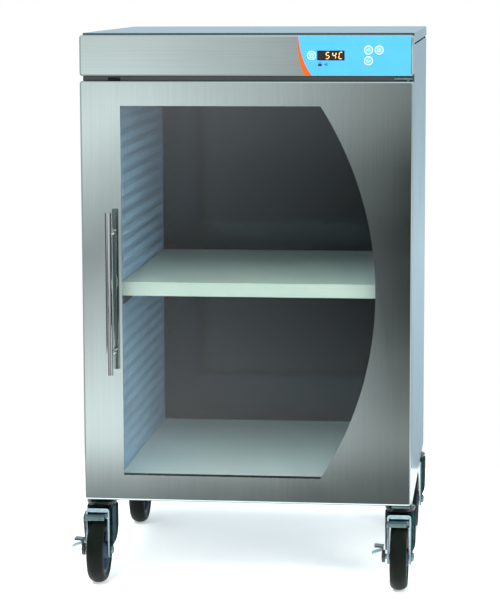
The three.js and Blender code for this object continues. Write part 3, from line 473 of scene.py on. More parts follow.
# Slotted chamber panels
SLOT_PITCH = (0.0147, 0.0255)
SLOT_SIZE = (0.0042, 0.0150)
PANEL_MARGIN = 0.012
PANEL_SHEET = 0.0012


def slot_outline(y, z):
    """Eight points round a slot, from its lower right end."""
    hy, hz = SLOT_SIZE[0] / 2, SLOT_SIZE[1] / 2
    cut = hy * 0.6
    return [(y + hy, z - hz + cut), (y + hy, z + hz - cut), (y + hy - cut, z + hz), (y - hy + cut, z + hz),
            (y - hy, z + hz - cut), (y - hy, z - hz + cut), (y - hy + cut, z - hz), (y + hy - cut, z - hz)]


def perforated_panel(side, sign):
    low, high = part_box(f"perforated_panel_{side}")
    face = low.x if sign > 0 else high.x
    foot = high.x if sign > 0 else low.x
    columns = int((high.y - low.y - 2 * PANEL_MARGIN) / SLOT_PITCH[0])
    rows = int((high.z - low.z - 2 * PANEL_MARGIN) / SLOT_PITCH[1])
    y0 = (low.y + high.y - columns * SLOT_PITCH[0]) / 2
    z0 = (low.z + high.z - rows * SLOT_PITCH[1]) / 2
    ys = [y0 + k * SLOT_PITCH[0] for k in range(columns + 1)]
    zs = [z0 + k * SLOT_PITCH[1] for k in range(rows + 1)]
    bm = bmesh.new()
    corner = {(i, k): bm.verts.new((face, y, z)) for i, y in enumerate(ys) for k, z in enumerate(zs)}
    for i in range(columns):
        for k in range(rows):
            cy, cz = (ys[i] + ys[i + 1]) / 2, (zs[k] + zs[k + 1]) / 2
            hole = [bm.verts.new((face, y, z)) for y, z in slot_outline(cy, cz)]
            ends = [corner[i + 1, k], corner[i + 1, k + 1], corner[i, k + 1], corner[i, k]]
            for c in range(4):
                a, b = ends[c], ends[(c + 1) % 4]
                bm.faces.new([a, b, hole[2 * c + 1], hole[2 * c]])
                bm.faces.new([b, hole[(2 * c + 2) % 8], hole[2 * c + 1]])
    for row, level in ((0, low.z), (rows, high.z)):
        plain_border(bm, [corner[i, row] for i in range(columns + 1)], level)
    for column, end in ((0, low.y), (columns, high.y)):
        flange(bm, [corner[column, k] for k in range(rows + 1)], face, foot, low, high, end)
    bmesh.ops.remove_doubles(bm, verts=bm.verts, dist=1e-6)
    # The slotted steel's bright blue is painted light.
    mesh = to_mesh(bm, f"perforated_panel_{side}_mesh", slotted_steel_painted_blue_light)
    obj = put(f"slotted_panel_{side}", mesh, "cabinet", [f"perforated_panel_{side}"])
    thicken(obj, PANEL_SHEET, sheet_offset(obj, sign))


def sheet_offset(obj, sign):
    """The side of the sheet that grows away from the chamber."""
    return -1.0 if obj.data.polygons[0].normal.x * sign < 0 else 1.0


def plain_border(bm, verts, level):
    """A plain strip from a row of points up or down to a level."""
    outer = [bm.verts.new((vert.co.x, vert.co.y, level)) for vert in verts]
    for k in range(len(verts) - 1):
        bm.faces.new([verts[k], verts[k + 1], outer[k + 1], outer[k]])


def flange(bm, verts, face, foot, low, high, end):
    """The panel's plain upright edge, and the flange that turns back to the liner."""
    levels = [low.z, *[vert.co.z for vert in verts], high.z]
    inner = [(face, verts[0].co.y, z) for z in levels]
    bend = [(face, end, z) for z in levels]
    root = [(foot, end, z) for z in levels]
    add_grid(bm, [inner, bend, root])


# Door seal: a bulb on a flat foot, carried round the mouth
GASKET_WIDTH = 0.012
GASKET_CORNER = 0.010


def door_gasket():
    low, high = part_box("door_gasket")
    width = GASKET_WIDTH
    middle = [low.x + width / 2, high.x - width / 2, low.z + width / 2, high.z - width / 2]
    depth = high.y - low.y
    section = [(-0.5, 0.0), (0.5, 0.0), (0.5, 0.22), (0.34, 0.34), (0.40, 0.62), (0.28, 0.88), (0.0, 1.0),
               (-0.28, 0.88), (-0.40, 0.62), (-0.34, 0.34), (-0.5, 0.22)]
    rings = []
    path = rounded_rectangle(*middle, GASKET_CORNER)
    for k, (x, z) in enumerate(path):
        before, after = path[k - 1], path[(k + 1) % len(path)]
        along = Vector((after[0] - before[0], 0, after[1] - before[1])).normalized()
        outward = Vector((along.z, 0, -along.x))
        seat = Vector((x, low.y, z))
        rings.append([seat + outward * (a * width) + Vector((0, b * depth, 0)) for a, b in section])
    bm = bmesh.new()
    add_loft(bm, rings, looped=True)
    piece("door_seal", bm, gasket_rubber, "door", ["door_gasket"], 50)


# Insulation: the jacket's form with a loose fibrous surface
WOOL_CELL = 0.010
WOOL_LUMP = 0.06
WOOL_DEPTH = 0.003


def insulation():
    mesh = frame["nodes"]["insulation_jacket"].data.copy()
    mesh.name = "wool_jacket_mesh"
    mesh.materials.clear()
    mesh.materials.append(wool)
    obj = put("wool_jacket", mesh, "cabinet", ["insulation_jacket"])
    weld(obj)
    cells = obj.modifiers.new("cells", "REMESH")
    cells.mode = "VOXEL"
    cells.voxel_size = WOOL_CELL
    lumps = bpy.data.textures.new("wool_lumps", "CLOUDS")
    lumps.noise_scale = WOOL_LUMP
    loose = obj.modifiers.new("loose", "DISPLACE")
    loose.texture = lumps
    loose.strength = WOOL_DEPTH
    loose.mid_level = 1.0
    loose.texture_coords = "LOCAL"


# Handle
HANDLE_CHAMFER = 0.0012
POST_HALF_SPREAD = 0.1135


def handle():
    low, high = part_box("door_handle")
    x = (low.x + high.x) / 2
    radius = (high.x - low.x) / 2
    y = low.y + radius
    middle = (low.z + high.z) / 2
    half = (high.z - low.z) / 2
    chamfer = HANDLE_CHAMFER
    bm = bmesh.new()
    upper = [(radius, half - chamfer), (radius - chamfer / 3, half - chamfer / 3), (radius - chamfer, half),
             (0, half)]
    profile = [(wide, -along) for wide, along in reversed(upper)] + upper
    add_lathe(bm, profile, "Z", (x, y, middle))
    for end in (-1, 1):
        z = middle + end * POST_HALF_SPREAD
        foot = DOOR_FRONT - FIT
        post = [(0, y), (0.0045, y), (0.0038, y + 0.008), (0.0036, foot - 0.006), (0.0042, foot - 0.002),
                (0.0056, foot - 0.0008), (0.0056, foot), (0, foot)]
        add_lathe(bm, post, "Y", (x, 0, z), 32)
    mesh = to_mesh(bm, "handle_mesh", bar_steel, 40)
    put("handle_bar", mesh, "door", ["door_handle"])


# Control panel
OVERLAY_SWEEP = 0.013
STRIPE_WIDTHS = (0.0015, 0.0140)
KEY_HOLE = 0.0093
# The display's middle from the overlay's upper left corner, its half size and its corner
DISPLAY_PLACE = (0.0615, 0.0353)
DISPLAY_HALF = (0.0253, 0.00905)
DISPLAY_CORNER = 0.0008
DIGIT_SEGMENTS = {" ": "", "5": "afgcd", "4": "fgbc", "C": "afed"}


def overlay_edge(low, high, t):
    """The overlay's curved left edge, from its top to its bottom."""
    control_z = (2 * low.z + high.z) / 3
    x = low.x + OVERLAY_SWEEP * t * t
    z = (1 - t) ** 2 * high.z + 2 * t * (1 - t) * control_z + t * t * low.z
    return x, z


def control_overlay():
    low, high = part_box("control_overlay")
    steps = [k / 24 for k in range(25)]
    edge = [overlay_edge(low, high, t) for t in steps]
    holes = [circle(*key_place(sign), KEY_HOLE, 40) for sign in SIGNS]
    holes.append(rounded_rectangle(*display_window(), DISPLAY_CORNER, 3))
    narrow, wide = STRIPE_WIDTHS
    inner = [(x + narrow + (wide - narrow) * t ** 1.2, z) for t, (x, z) in zip(steps, edge)]
    outline = inner + [(high.x, low.z), (high.x, high.z)]
    film_sheet("blue_overlay", outline, holes, blue_film, ["control_overlay"])
    film_sheet("orange_stripe", inner[::-1] + edge, [], orange_film, [])


def film_sheet(name, outline, holes, material, replaces):
    """A flat film with holes, its face filled between the outlines."""
    bm = bmesh.new()
    for loop in [outline, *holes]:
        verts = [bm.verts.new((x, OVERLAY_FRONT, z)) for x, z in loop]
        for k in range(len(verts)):
            bm.edges.new([verts[k - 1], verts[k]])
    bmesh.ops.triangle_fill(bm, edges=bm.edges, use_beauty=True, normal=(0, -1, 0))
    for face in bm.faces:
        if face.normal.y > 0:
            face.normal_flip()
    mesh = bpy.data.meshes.new(f"{name}_mesh")
    bm.to_mesh(mesh)
    bm.free()
    mesh.materials.append(material)
    obj = put(name, mesh, "cabinet", replaces)
    thicken(obj, OVERLAY_BACK - OVERLAY_FRONT)


def display_window():
    """The display's limits: left, right, bottom and top."""
    low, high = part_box("control_overlay")
    x, z = low.x + DISPLAY_PLACE[0], high.z - DISPLAY_PLACE[1]
    half_wide, half_high = DISPLAY_HALF
    return x - half_wide, x + half_wide, z - half_high, z + half_high


def display():
    x0, x1, z0, z1 = display_window()
    inset = 0.0003
    lens = rounded_rectangle(x0 + inset, x1 - inset, z0 + inset, z1 - inset, DISPLAY_CORNER, 3)
    bm = bmesh.new()
    add_prism(bm, lens, "Y", OVERLAY_FRONT + 0.0002, OVERLAY_BACK - 0.00005)
    piece("display_lens", bm, lens_black, "cabinet")
    lit, unlit = bmesh.new(), bmesh.new()
    pitch = (x1 - x0) / 4.2
    for place, sign in enumerate(" 54C"):
        digit(lit, unlit, x0 + pitch * (place + 0.6), (z0 + z1) / 2, DIGIT_SEGMENTS[sign])
    piece("display_digits", lit, lit_amber, "cabinet")
    piece("display_unlit", unlit, unlit_amber, "cabinet")


def digit(lit, unlit, x, z, segments):
    """A seven-segment figure, leaning a little, with the unlit bars in the dark mesh."""
    half, height, thick = 0.0030, 0.0058, 0.00075
    bars = {"a": (0, height, True), "g": (0, 0, True), "d": (0, -height, True),
            "f": (-half, height / 2, False), "b": (half, height / 2, False),
            "e": (-half, -height / 2, False), "c": (half, -height / 2, False)}
    lean = 0.12
    for name, (cx, cz, flat) in bars.items():
        long = (half if flat else height / 2) - thick * 0.6
        tip = long - thick
        shape = [(-long, 0), (-tip, -thick), (tip, -thick), (long, 0), (tip, thick), (-tip, thick)]
        bar = shape if flat else [(-b, a) for a, b in shape]
        outline = [(x + cx + a + lean * (cz + b), z + cz + b) for a, b in bar]
        bm = lit if name in segments else unlit
        add_prism(bm, outline, "Y", OVERLAY_FRONT + 0.00005, OVERLAY_FRONT + 0.0002)


# Keys with their signs
SIGNS = ("power", "up", "down", "set")


def key_place(sign):
    low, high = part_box(f"{sign}_key")
    return (low.x + high.x) / 2, (low.z + high.z) / 2


def arc_band(x, z, inner, outer, start, stop, steps=20):
    angles = [math.radians(start + (stop - start) * k / steps) for k in range(steps + 1)]
    return arc(x, z, outer, angles) + arc(x, z, inner, angles[::-1])


def sign_outlines(sign, x, z):
    if sign == "power":
        bar = [(x - 0.0004, z), (x + 0.0004, z), (x + 0.0004, z + 0.0045), (x - 0.0004, z + 0.0045)]
        return [arc_band(x, z, 0.0029, 0.0037, 125, 415), bar]
    if sign == "set":
        return [arc_band(x, z, 0.0030, 0.0037, 0, 359), circle(x, z, 0.0013, 20)]
    way = 1 if sign == "up" else -1
    head = [(-0.0036, -0.0012), (0, 0.0030), (0.0036, -0.0012), (0.0029, -0.0018), (0, 0.0017),
            (-0.0029, -0.0018)]
    return [[(x + a, z + way * b) for a, b in head]]


def keys():
    for sign in SIGNS:
        name = f"{sign}_key"
        low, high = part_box(name)
        x, z = key_place(sign)
        front, deep = low.y, high.y - low.y
        cap = [(0, 0.0002), (0.0076, 0.0002), (0.0084, 0.0003), (0.0089, 0.0006), (0.0089, 0.0008),
               (0.004, 0.0008), (0.004, deep), (0, deep)]
        rim = [(0.0070, 0.00022), (0.0070, 0.00005), (0.0072, 0), (0.0080, 0), (0.0082, 0.00005),
               (0.0082, 0.00025)]
        bm = bmesh.new()
        add_lathe(bm, cap, "Y", (x, front, z))
        piece(f"{name}_cap", bm, key_film, name, [name])
        bm = bmesh.new()
        add_lathe(bm, rim, "Y", (x, front, z))
        piece(f"{name}_ring", bm, white_ink, name)
        bm = bmesh.new()
        for outline in sign_outlines(sign, x, z):
            add_prism(bm, outline, "Y", front + 0.0001, front + 0.00021)
        piece(f"{name}_sign", bm, white_ink, name)


def indicator_signs():
    """Two printed signs under the display: a padlock and a sounder."""
    low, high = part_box("control_overlay")
    x, z = low.x + 0.0415, high.z - 0.0515
    back, front = OVERLAY_FRONT + 0.00005, OVERLAY_FRONT - 0.00008
    bm = bmesh.new()
    block = rounded_rectangle(x - 0.0036, x + 0.0036, z - 0.0034, z + 0.0012, 0.0006, 3)
    add_prism(bm, block, "Y", front, back)
    add_prism(bm, arc_band(x, z + 0.0012, 0.0016, 0.0025, 0, 180, 12), "Y", front, back)
    piece("padlock_sign", bm, dark_ink_and_shade, "cabinet")
    x += 0.011
    horn = [(-0.0034, -0.0012), (-0.0016, -0.0012), (0.0012, -0.0038), (0.0012, 0.0038), (-0.0016, 0.0012),
            (-0.0034, 0.0012)]
    bm = bmesh.new()
    add_prism(bm, [(x + a, z + b) for a, b in horn], "Y", front, back)
    add_prism(bm, arc_band(x, z, 0.0026, 0.0034, -50, 50, 10), "Y", front, back)
    piece("sounder_sign", bm, navy_ink, "cabinet")


# Cord gland with a hexagon body and a domed cap
GLAND_BORE = 0.0045
GLAND_RIBS = 12


def cord_gland():
    low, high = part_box("cord_gland")
    x, z = (low.x + high.x) / 2, (low.z + high.z) / 2
    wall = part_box("rear_panel")[1].y
    bm = bmesh.new()

    def collar(radius, start, stop, sides):
        profile = [(GLAND_BORE, start), (radius, start), (radius, stop), (GLAND_BORE, stop)]
        add_lathe(bm, profile, "Y", (x, 0, z), sides)

    collar(0.0125, low.y, low.y + 0.006, 6)
    collar(0.0080, low.y + 0.005, wall + 0.002, 32)
    collar(0.0128, wall + FIT, wall + 0.007, 6)
    dome = [(GLAND_BORE, wall + 0.006), (0.0108, wall + 0.007), (0.0108, wall + 0.013),
            (0.0100, high.y - 0.004), (0.0078, high.y - 0.0008), (0.0066, high.y), (GLAND_BORE, high.y)]
    add_lathe(bm, dome, "Y", (x, 0, z), 40)
    for cx, cz in circle(x, z, 0.0107, GLAND_RIBS):
        add_rod(bm, 0.0011, wall + 0.0072, wall + 0.0125, "Y", (cx, 0, cz), 8)
    piece("gland", bm, black_plastic, "cabinet", ["cord_gland"])


# Screws of the rear panel
SCREW_INSET = 0.010
SCREW_ROWS = 5
ROW_INSET = 0.03
TOP_INSET = 0.024
MIDDLE_SCREWS = (-0.15, 0.0, 0.15)
RECESS_TURN = 0.4


def screw_head():
    """A pan head along Y, its seat at nought."""
    bm = bmesh.new()
    head = [(0, -0.0022), (0.0012, -0.00215), (0.0026, -0.0019), (0.0036, -0.0012), (0.0040, -0.0003),
            (0.0040, 0), (0, 0)]
    add_lathe(bm, head, "Y", sides=32)
    return to_mesh(bm, "screw_mesh", bar_steel)


def painted_screw_shade():
    """A dark cross laid on a screw's head: painted shade for its cross recess, which is not cut."""
    bm = bmesh.new()
    bar = [(-0.0021, -0.0003), (0.0021, -0.0003), (0.0021, 0.0003), (-0.0021, 0.0003)]
    for turn in (RECESS_TURN, RECESS_TURN + math.pi / 2):
        add_prism(bm, turned(bar, turn), "Y", -0.00226, -0.0016)
    return to_mesh(bm, "screw_recess_mesh", dark_ink_and_shade)


def screws():
    meshes = {"head": screw_head(), "cross_shade": painted_screw_shade()}
    low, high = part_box("rear_panel")
    tall = high.z - low.z - 2 * ROW_INSET
    rows = [low.z + ROW_INSET + k * tall / (SCREW_ROWS - 1) for k in range(SCREW_ROWS)]
    places = [(x, z) for z in rows for x in (low.x + SCREW_INSET, high.x - SCREW_INSET)]
    middle = (low.x + high.x) / 2
    levels = (low.z + SCREW_INSET, high.z - TOP_INSET)
    places += [(middle + x, z) for x in MIDDLE_SCREWS for z in levels]
    for number, (x, z) in enumerate(places):
        for part, mesh in meshes.items():
            obj = bpy.data.objects.new(f"rear_screw_{part}_{number:02d}", mesh)
            scene.collection.objects.link(obj)
            obj.matrix_world = Matrix.Translation((x, high.y, z)) @ Matrix.Rotation(math.pi, 4, "Z")
            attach(obj, "cabinet")


# Casters
def caster_place(tag):
    low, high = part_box(f"caster_stem_{tag}")
    return (low.x + high.x) / 2, (low.y + high.y) / 2, 0.0


def stem_mesh():
    """Domed cap over the raceway, a hexagon collar and the threaded stem."""
    bm = bmesh.new()
    rise = CAP_TOP - CAP_UNDER
    cap = [(0, 0), (0.0278, 0), (0.0288, 0.0006), (0.0290, 0.0018), (0.0281, 0.0032), (0.0258, 0.0043),
           (0.0225, 0.0050), (0.0190, rise), (0, rise)]
    add_lathe(bm, cap, centre=(0, 0, CAP_UNDER), sides=64)
    add_rod(bm, 0.0118, CAP_TOP - 0.001, BASE_Z - FIT, sides=6)
    thread = [(0, BASE_Z - 0.001)]
    for k in range(THREAD_TURNS):
        z = BASE_Z - 0.001 + k * THREAD_PITCH
        thread += [(0.0060, z), (0.0055, z + THREAD_PITCH / 2)]
    add_lathe(bm, thread + [(0.0050, BASE_Z + 0.0275), (0, BASE_Z + 0.0275)], sides=24)
    return to_mesh(bm, "caster_stem_mesh", black_steel)


def leg_limits(z):
    """Front and rear edge of a fork leg at a height."""
    if z >= AXLE_Z:
        t = min(1.0, (z - AXLE_Z) / ((FORK_TOP - AXLE_Z) / 2))
        bow = math.sin(t * math.pi / 2) ** 1.2
        return -TRAIL - LEG_NOSE, -TRAIL + LEG_NOSE + (FORK_REAR + TRAIL - LEG_NOSE) * bow
    drop = AXLE_Z - z
    half = math.sqrt(max(LEG_NOSE ** 2 - drop ** 2, 1e-8))
    return -TRAIL - half, -TRAIL + half


def leg_out(y):
    """Outer face of a leg from the fork's middle plane: parallel at the wheel, spread at the crown."""
    t = min(1.0, max(0.0, (y + FORK_FLARE) / FORK_FLARE))
    return FORK_OUT + (FORK_WIDE - FORK_OUT) * t * t * (3 - 2 * t)


def fork_mesh():
    """One bent sheet: up a leg, over the round crown, and down the other leg."""
    bottom = AXLE_Z - LEG_NOSE
    bend_z = FORK_TOP - FORK_BEND
    lows = [bottom + LEG_NOSE * (1 - math.cos(math.pi * k / 16)) for k in range(8)]
    legs = [AXLE_Z + (bend_z - AXLE_Z) * k / 12 for k in range(12)]
    rows = [leg_row(z, 0.0, z) for z in lows + legs]
    for k in range(7):
        angle = math.pi / 2 * k / 6
        inward = FORK_BEND * (1 - math.cos(angle))
        rows.append(leg_row(bend_z, inward, bend_z + FORK_BEND * math.sin(angle)))
    crown = [crown_row(-1 + 2 * k / 12) for k in range(1, 12)]
    mirrored = [[(-x, y, z) for x, y, z in row] for row in reversed(rows)]
    bm = bmesh.new()
    add_grid(bm, rows + crown + mirrored)
    # The fork's faces take the darker zinc, painted shade; its rim takes the paler zinc, a painted highlight.
    mesh = to_mesh(bm, "caster_fork_mesh", fork_zinc_painted_shade, 60)
    mesh.materials.append(edge_zinc_painted_highlight)
    return mesh


def spread(front, rear, steps):
    """Even places from one limit to another."""
    return [front + (rear - front) * k / steps for k in range(steps + 1)]


def leg_row(limits_z, inward, z):
    return [(-leg_out(y) + inward, y, z) for y in spread(*leg_limits(limits_z), FORK_COLUMNS)]


def crown_row(share):
    """A row across the crown, from its straight front to its round back."""
    rear = FORK_REAR + (FORK_WIDE - FORK_REAR) * math.sqrt(1 - share * share)
    ys = spread(-TRAIL - LEG_NOSE, rear, FORK_COLUMNS)
    return [(share * (leg_out(y) - FORK_BEND), y, FORK_TOP) for y in ys]


def fork_lip_mesh():
    """The crown's front edge, turned down between the legs."""
    inside = FORK_OUT - FORK_SHEET
    front = -TRAIL - LEG_NOSE
    top = FORK_TOP - 0.0008
    bottom = FORK_TOP - FORK_SHEET - FORK_LIP
    bm = bmesh.new()
    lip = rounded_rectangle(-inside, inside, bottom, top, 0.0025, 5)
    add_prism(bm, lip, "Y", front + 0.0004, front + FORK_SHEET)
    # The lip takes the paler zinc: a painted highlight along the crown's front edge.
    return to_mesh(bm, "caster_fork_lip_mesh", edge_zinc_painted_highlight)


def race_mesh():
    """Stacked pressed rings of the swivel bearing."""
    bm = bmesh.new()
    base = FORK_TOP - 0.0004
    rise = RACE_TOP - base
    ring = [(0, 0), (0.0262, 0), (0.0270, 0.0006), (0.0270, 0.0014), (0.0258, 0.0018), (0.0258, 0.0022),
            (0.0272, 0.0026), (0.0272, rise - 0.0005), (0.0264, rise), (0, rise)]
    add_lathe(bm, ring, centre=(0, 0, base), sides=64)
    return to_mesh(bm, "caster_race_mesh", black_steel)


def add_wheel(bm, side, sides):
    """A turned form on the axle, from half of its profile."""
    profile = [(radius, -along) for radius, along in reversed(side)] + side[1:]
    add_lathe(bm, profile, "X", (0, -TRAIL, AXLE_Z), sides)


def tyre_mesh():
    r, half = WHEEL_RADIUS, TREAD_HALF
    side = [(r, 0.0), (r - 0.0002, 0.0030), (r - 0.0008, 0.0060), (r - 0.0019, 0.0090),
            (r - 0.0032, half - 0.0045), (r - 0.0046, half - 0.0025), (r - 0.0063, half - 0.0009),
            (r - 0.0084, half), (0.0525, half - 0.0001), (0.0518, half - 0.0009), (0.0502, half - 0.0009),
            (0.0495, half - 0.0003), (0.0472, half - 0.0010), (0.0455, half - 0.0022)]
    bm = bmesh.new()
    add_wheel(bm, side, 96)
    return to_mesh(bm, "wheel_tyre_mesh", tyre_rubber, 50)


def hub_mesh():
    side = [(0.0452, 0.0), (0.0452, 0.0130), (0.0440, 0.0137), (0.0410, 0.0134), (0.0396, 0.0122),
            (0.0378, 0.0062), (0.0350, 0.0050), (0.0210, 0.0050), (0.0185, 0.0062), (0.0160, 0.0165),
            (0.0148, 0.0180), (0.0053, 0.0180)]
    rib = [(0.0175, -0.0012), (0.0385, -0.0008), (0.0385, 0.0008), (0.0175, 0.0012)]
    bm = bmesh.new()
    add_wheel(bm, side, 72)
    for k in range(HUB_RIBS):
        add_prism(bm, turned(rib, 2 * math.pi * k / HUB_RIBS, (-TRAIL, AXLE_Z)), "X", -0.0085, 0.0085)
    return to_mesh(bm, "wheel_hub_mesh", hub_plastic)


def axle_mesh(braked):
    """Shaft with a washer and hexagon nut on the right; on a braked wheel the head is sunk in the lever."""
    right = FORK_OUT + FIT
    left = LEVER_START + LEVER_SEAT + FIT if braked else right
    centre = (0, -TRAIL, AXLE_Z)
    bm = bmesh.new()
    start, end = -left - 0.001, right + 0.0050
    shaft = [(0, start), (0.005, start), (0.005, right + 0.0044), (0.0042, end), (0, end)]
    add_lathe(bm, shaft, "X", centre, 32)
    add_rod(bm, 0.0085, right, right + 0.0010, "X", centre, 40)
    nut = [(0, 0.0009), (0.0083, 0.0009), (0.0083, 0.0036), (0.0072, 0.0044), (0, 0.0044)]
    add_lathe(bm, nut, "X", (right, -TRAIL, AXLE_Z), 6)
    head = [(0, 0), (0.0083, 0), (0.0083, -0.0030), (0.0070, -0.0045), (0, -0.0045)]
    add_lathe(bm, head, "X", (-left, -TRAIL, AXLE_Z), 6)
    return to_mesh(bm, "wheel_axle_mesh", zinc)


# Brake shoe
SHOE_STEPS = 10
SHOE_INNER = 0.0655
SHOE_RIGHT = 0.0140
HOOD_RIGHT = 0.0185
HOOD_TOP = 0.139757
LEG_INSIDE = 0.0192
LEG_FRONT = -TRAIL - LEG_NOSE - 0.0006


def shoe_point(degrees):
    """A point on the shoe's underside, by its angle round the wheel from the rear."""
    angle = math.radians(degrees)
    return -TRAIL + SHOE_INNER * math.cos(angle), AXLE_Z + SHOE_INNER * math.sin(angle)


SHOE_REAR = shoe_point(93)[0]
LIP_BACK, LIP_FOOT = shoe_point(110)
LIP_FRONT = LIP_BACK - 0.003
LIP_TOP = LIP_FOOT + 0.007


def shoe_outline(front, rear):
    """The shoe between two limits, seen from its side: hollow over the tread, with a sloping top."""
    under = []
    for y in spread(front, rear, SHOE_STEPS):
        z = LIP_FOOT if y < LIP_BACK else AXLE_Z + math.sqrt(SHOE_INNER ** 2 - (y + TRAIL) ** 2)
        under.append((y, z))
    slope = (HOOD_TOP - LIP_TOP) / (SHOE_REAR - LIP_FRONT)
    return under + [(y, LIP_TOP + slope * (y - LIP_FRONT)) for y in (rear, front)]


def shoe_mesh():
    """A pad over the tread, its bridge ahead of the left leg, and a hood towards the right leg."""
    bm = bmesh.new()
    add_prism(bm, shoe_outline(LIP_FRONT, SHOE_REAR), "X", -LEG_INSIDE, SHOE_RIGHT)
    add_prism(bm, shoe_outline(LIP_FRONT, LEG_FRONT), "X", -ARM_OUT + 0.0027, -LEG_INSIDE + 0.001)
    add_prism(bm, shoe_outline(LEG_FRONT, SHOE_REAR), "X", SHOE_RIGHT - 0.001, HOOD_RIGHT)
    return to_mesh(bm, "brake_shoe_mesh", zinc)


def shoe_arm_mesh():
    """The flat arm on the left leg, from the shoe down to the lever's hub."""
    foot = AXLE_Z + 0.014
    front = LIP_FRONT + 0.0002
    outline = [(SHOE_REAR, HOOD_TOP), (front, LIP_TOP), (front, LIP_FOOT), (-TRAIL - 0.008, foot),
               (-TRAIL + 0.008, foot)]
    bm = bmesh.new()
    add_prism(bm, outline, "X", -ARM_OUT, -ARM_OUT + 0.003)
    return to_mesh(bm, "brake_shoe_arm_mesh", black_steel)


def lever_mesh():
    """A hub on the axle's left end, a flat web over it, and the web's bent upper edge."""
    bm = bmesh.new()
    hub = [(0.0053, -LEVER_START), (0.0112, -LEVER_START), (0.0120, -LEVER_START - 0.0010),
           (0.0120, -LEVER_STOP + 0.0010), (0.0112, -LEVER_STOP), (0.0088, -LEVER_STOP),
           (0.0088, -LEVER_START - LEVER_SEAT), (0.0053, -LEVER_START - LEVER_SEAT)]
    add_lathe(bm, hub, "X", (0, -TRAIL, AXLE_Z), 40)
    front, back = LEVER_LIMITS
    web = [(front + 0.003, 0.0085), (back - 0.003, 0.0085), (back, 0.0125), (back, 0.0205),
           (back - 0.0015, 0.022), (front + 0.0015, 0.022), (front, 0.0205), (front, 0.0125)]
    raised = [(y, AXLE_Z + z) for y, z in web]
    add_prism(bm, raised, "X", -LEVER_START - 0.006, -LEVER_START - 0.003)
    add_tongue(bm, *UPPER_TONGUE)
    return to_mesh(bm, "brake_lever_mesh", black_steel)


def pedal_mesh():
    """The lever's longer lower tongue."""
    bm = bmesh.new()
    add_tongue(bm, *LOWER_TONGUE)
    return to_mesh(bm, "brake_pedal_mesh", pedal_plate)


def add_tongue(bm, reach, rise, tip_rise):
    """A flat tongue from the web to a tip with round corners."""
    root = LEVER_START + 0.004
    front, back = LEVER_LIMITS
    rows = []
    for t in (0, 0.2, 0.4, 0.6, 0.8, 0.87, 0.93, 0.97, 1):
        x = -root - (reach - root) * t
        z = AXLE_Z + rise + (tip_rise - rise) * t
        corner = max(0.0, (t - 0.8) / 0.2)
        inset = 0.004 * (1 - math.sqrt(1 - corner * corner))
        rows.append([(x, front + inset, z), (x, back - inset, z), (x, back - inset, z - 0.003),
                     (x, front + inset, z - 0.003)])
    add_loft(bm, rows)


def casters():
    stem, fork, lip, race = stem_mesh(), fork_mesh(), fork_lip_mesh(), race_mesh()
    tyre, hub, lever, pedal = tyre_mesh(), hub_mesh(), lever_mesh(), pedal_mesh()
    shoe, arm = shoe_mesh(), shoe_arm_mesh()
    axles = {braked: axle_mesh(braked) for braked in (True, False)}
    for tag in TAGS:
        swivel, wheel, closer, presser = [f"{body}_{tag}" for body in ("swivel", "wheel", "shoe", "lever")]

        def seat(name, mesh, body, slot, node=None):
            nodes = [f"{node}_{tag}"] if node else ()
            return put(f"{name}_{tag}", mesh, body, nodes, caster_place(tag))

        soften(seat("stem", stem, "cabinet", "black_steel", "caster_stem"), 0.0004)
        yoke = seat("fork", fork, swivel, "zinc_plate", "caster_fork")
        soften(thicken(yoke, FORK_SHEET), 0.0006)
        # The sheet's cut edges take the paler zinc, a painted highlight.
        yoke.modifiers["sheet"].material_offset_rim = 1
        soften(seat("fork_lip", lip, swivel, "zinc_plate"), 0.0006)
        seat("race", race, swivel, "black_steel")
        soften(seat("axle", axles[tag in BRAKED], swivel, "zinc_plate", "wheel_axle"), 0.0003)
        seat("tyre", tyre, wheel, "tyre_rubber", "wheel_tyre")
        seat("hub", hub, wheel, "hub_plastic", "wheel_hub")
        if tag in BRAKED:
            soften(seat("shoe", shoe, closer, "zinc_plate", "brake_shoe"), 0.0006)
            soften(seat("shoe_arm", arm, closer, "black_steel"), 0.0005)
            soften(seat("lever", lever, presser, "black_steel", "brake_lever"), 0.0006)
            soften(seat("pedal", pedal, presser, "zinc_plate"), 0.0006)


# Floor, light and camera
FLOOR_HALF = 1.5
FLOOR_LIMITS = (-0.52, 0.8)


def studio():
    bm = bmesh.new()
    x, (front, back) = FLOOR_HALF, FLOOR_LIMITS
    corners = [(-x, front, 0), (x, front, 0), (x, back, 0), (-x, back, 0)]
    bm.faces.new([bm.verts.new(corner) for corner in corners])
    pale = Shader("pale_floor", Roughness=0.9, Emission_Strength=0.35)
    drift = pale.noise((0.6, 0.6, 0.6), detail=2.0)
    pale.feed("Base Color", pale.ramp(drift, (0.91, 0.92, 0.92), (0.94, 0.94, 0.94)))
    pale.feed("Emission Color", pale.ramp(drift, (0.97, 0.98, 0.98), (1.0, 1.0, 1.0)))
    floor = bpy.data.objects.new("floor", to_mesh(bm, "floor_mesh", pale.material))
    scene.collection.objects.link(floor)
    world()
    area_light("key_softbox", (-1.0, -3.0, 3.4), (0.0, -0.1, 0.55), (1.4, 1.4), 170)
    area_light("right_softbox", (2.2, -2.8, 1.5), (-0.1, 0.0, 0.6), (1.2, 1.6), 70)
    area_light("top_softbox", (0.2, 0.2, 3.2), (0.0, 0.0, 0.5), (2.0, 2.0), 40)


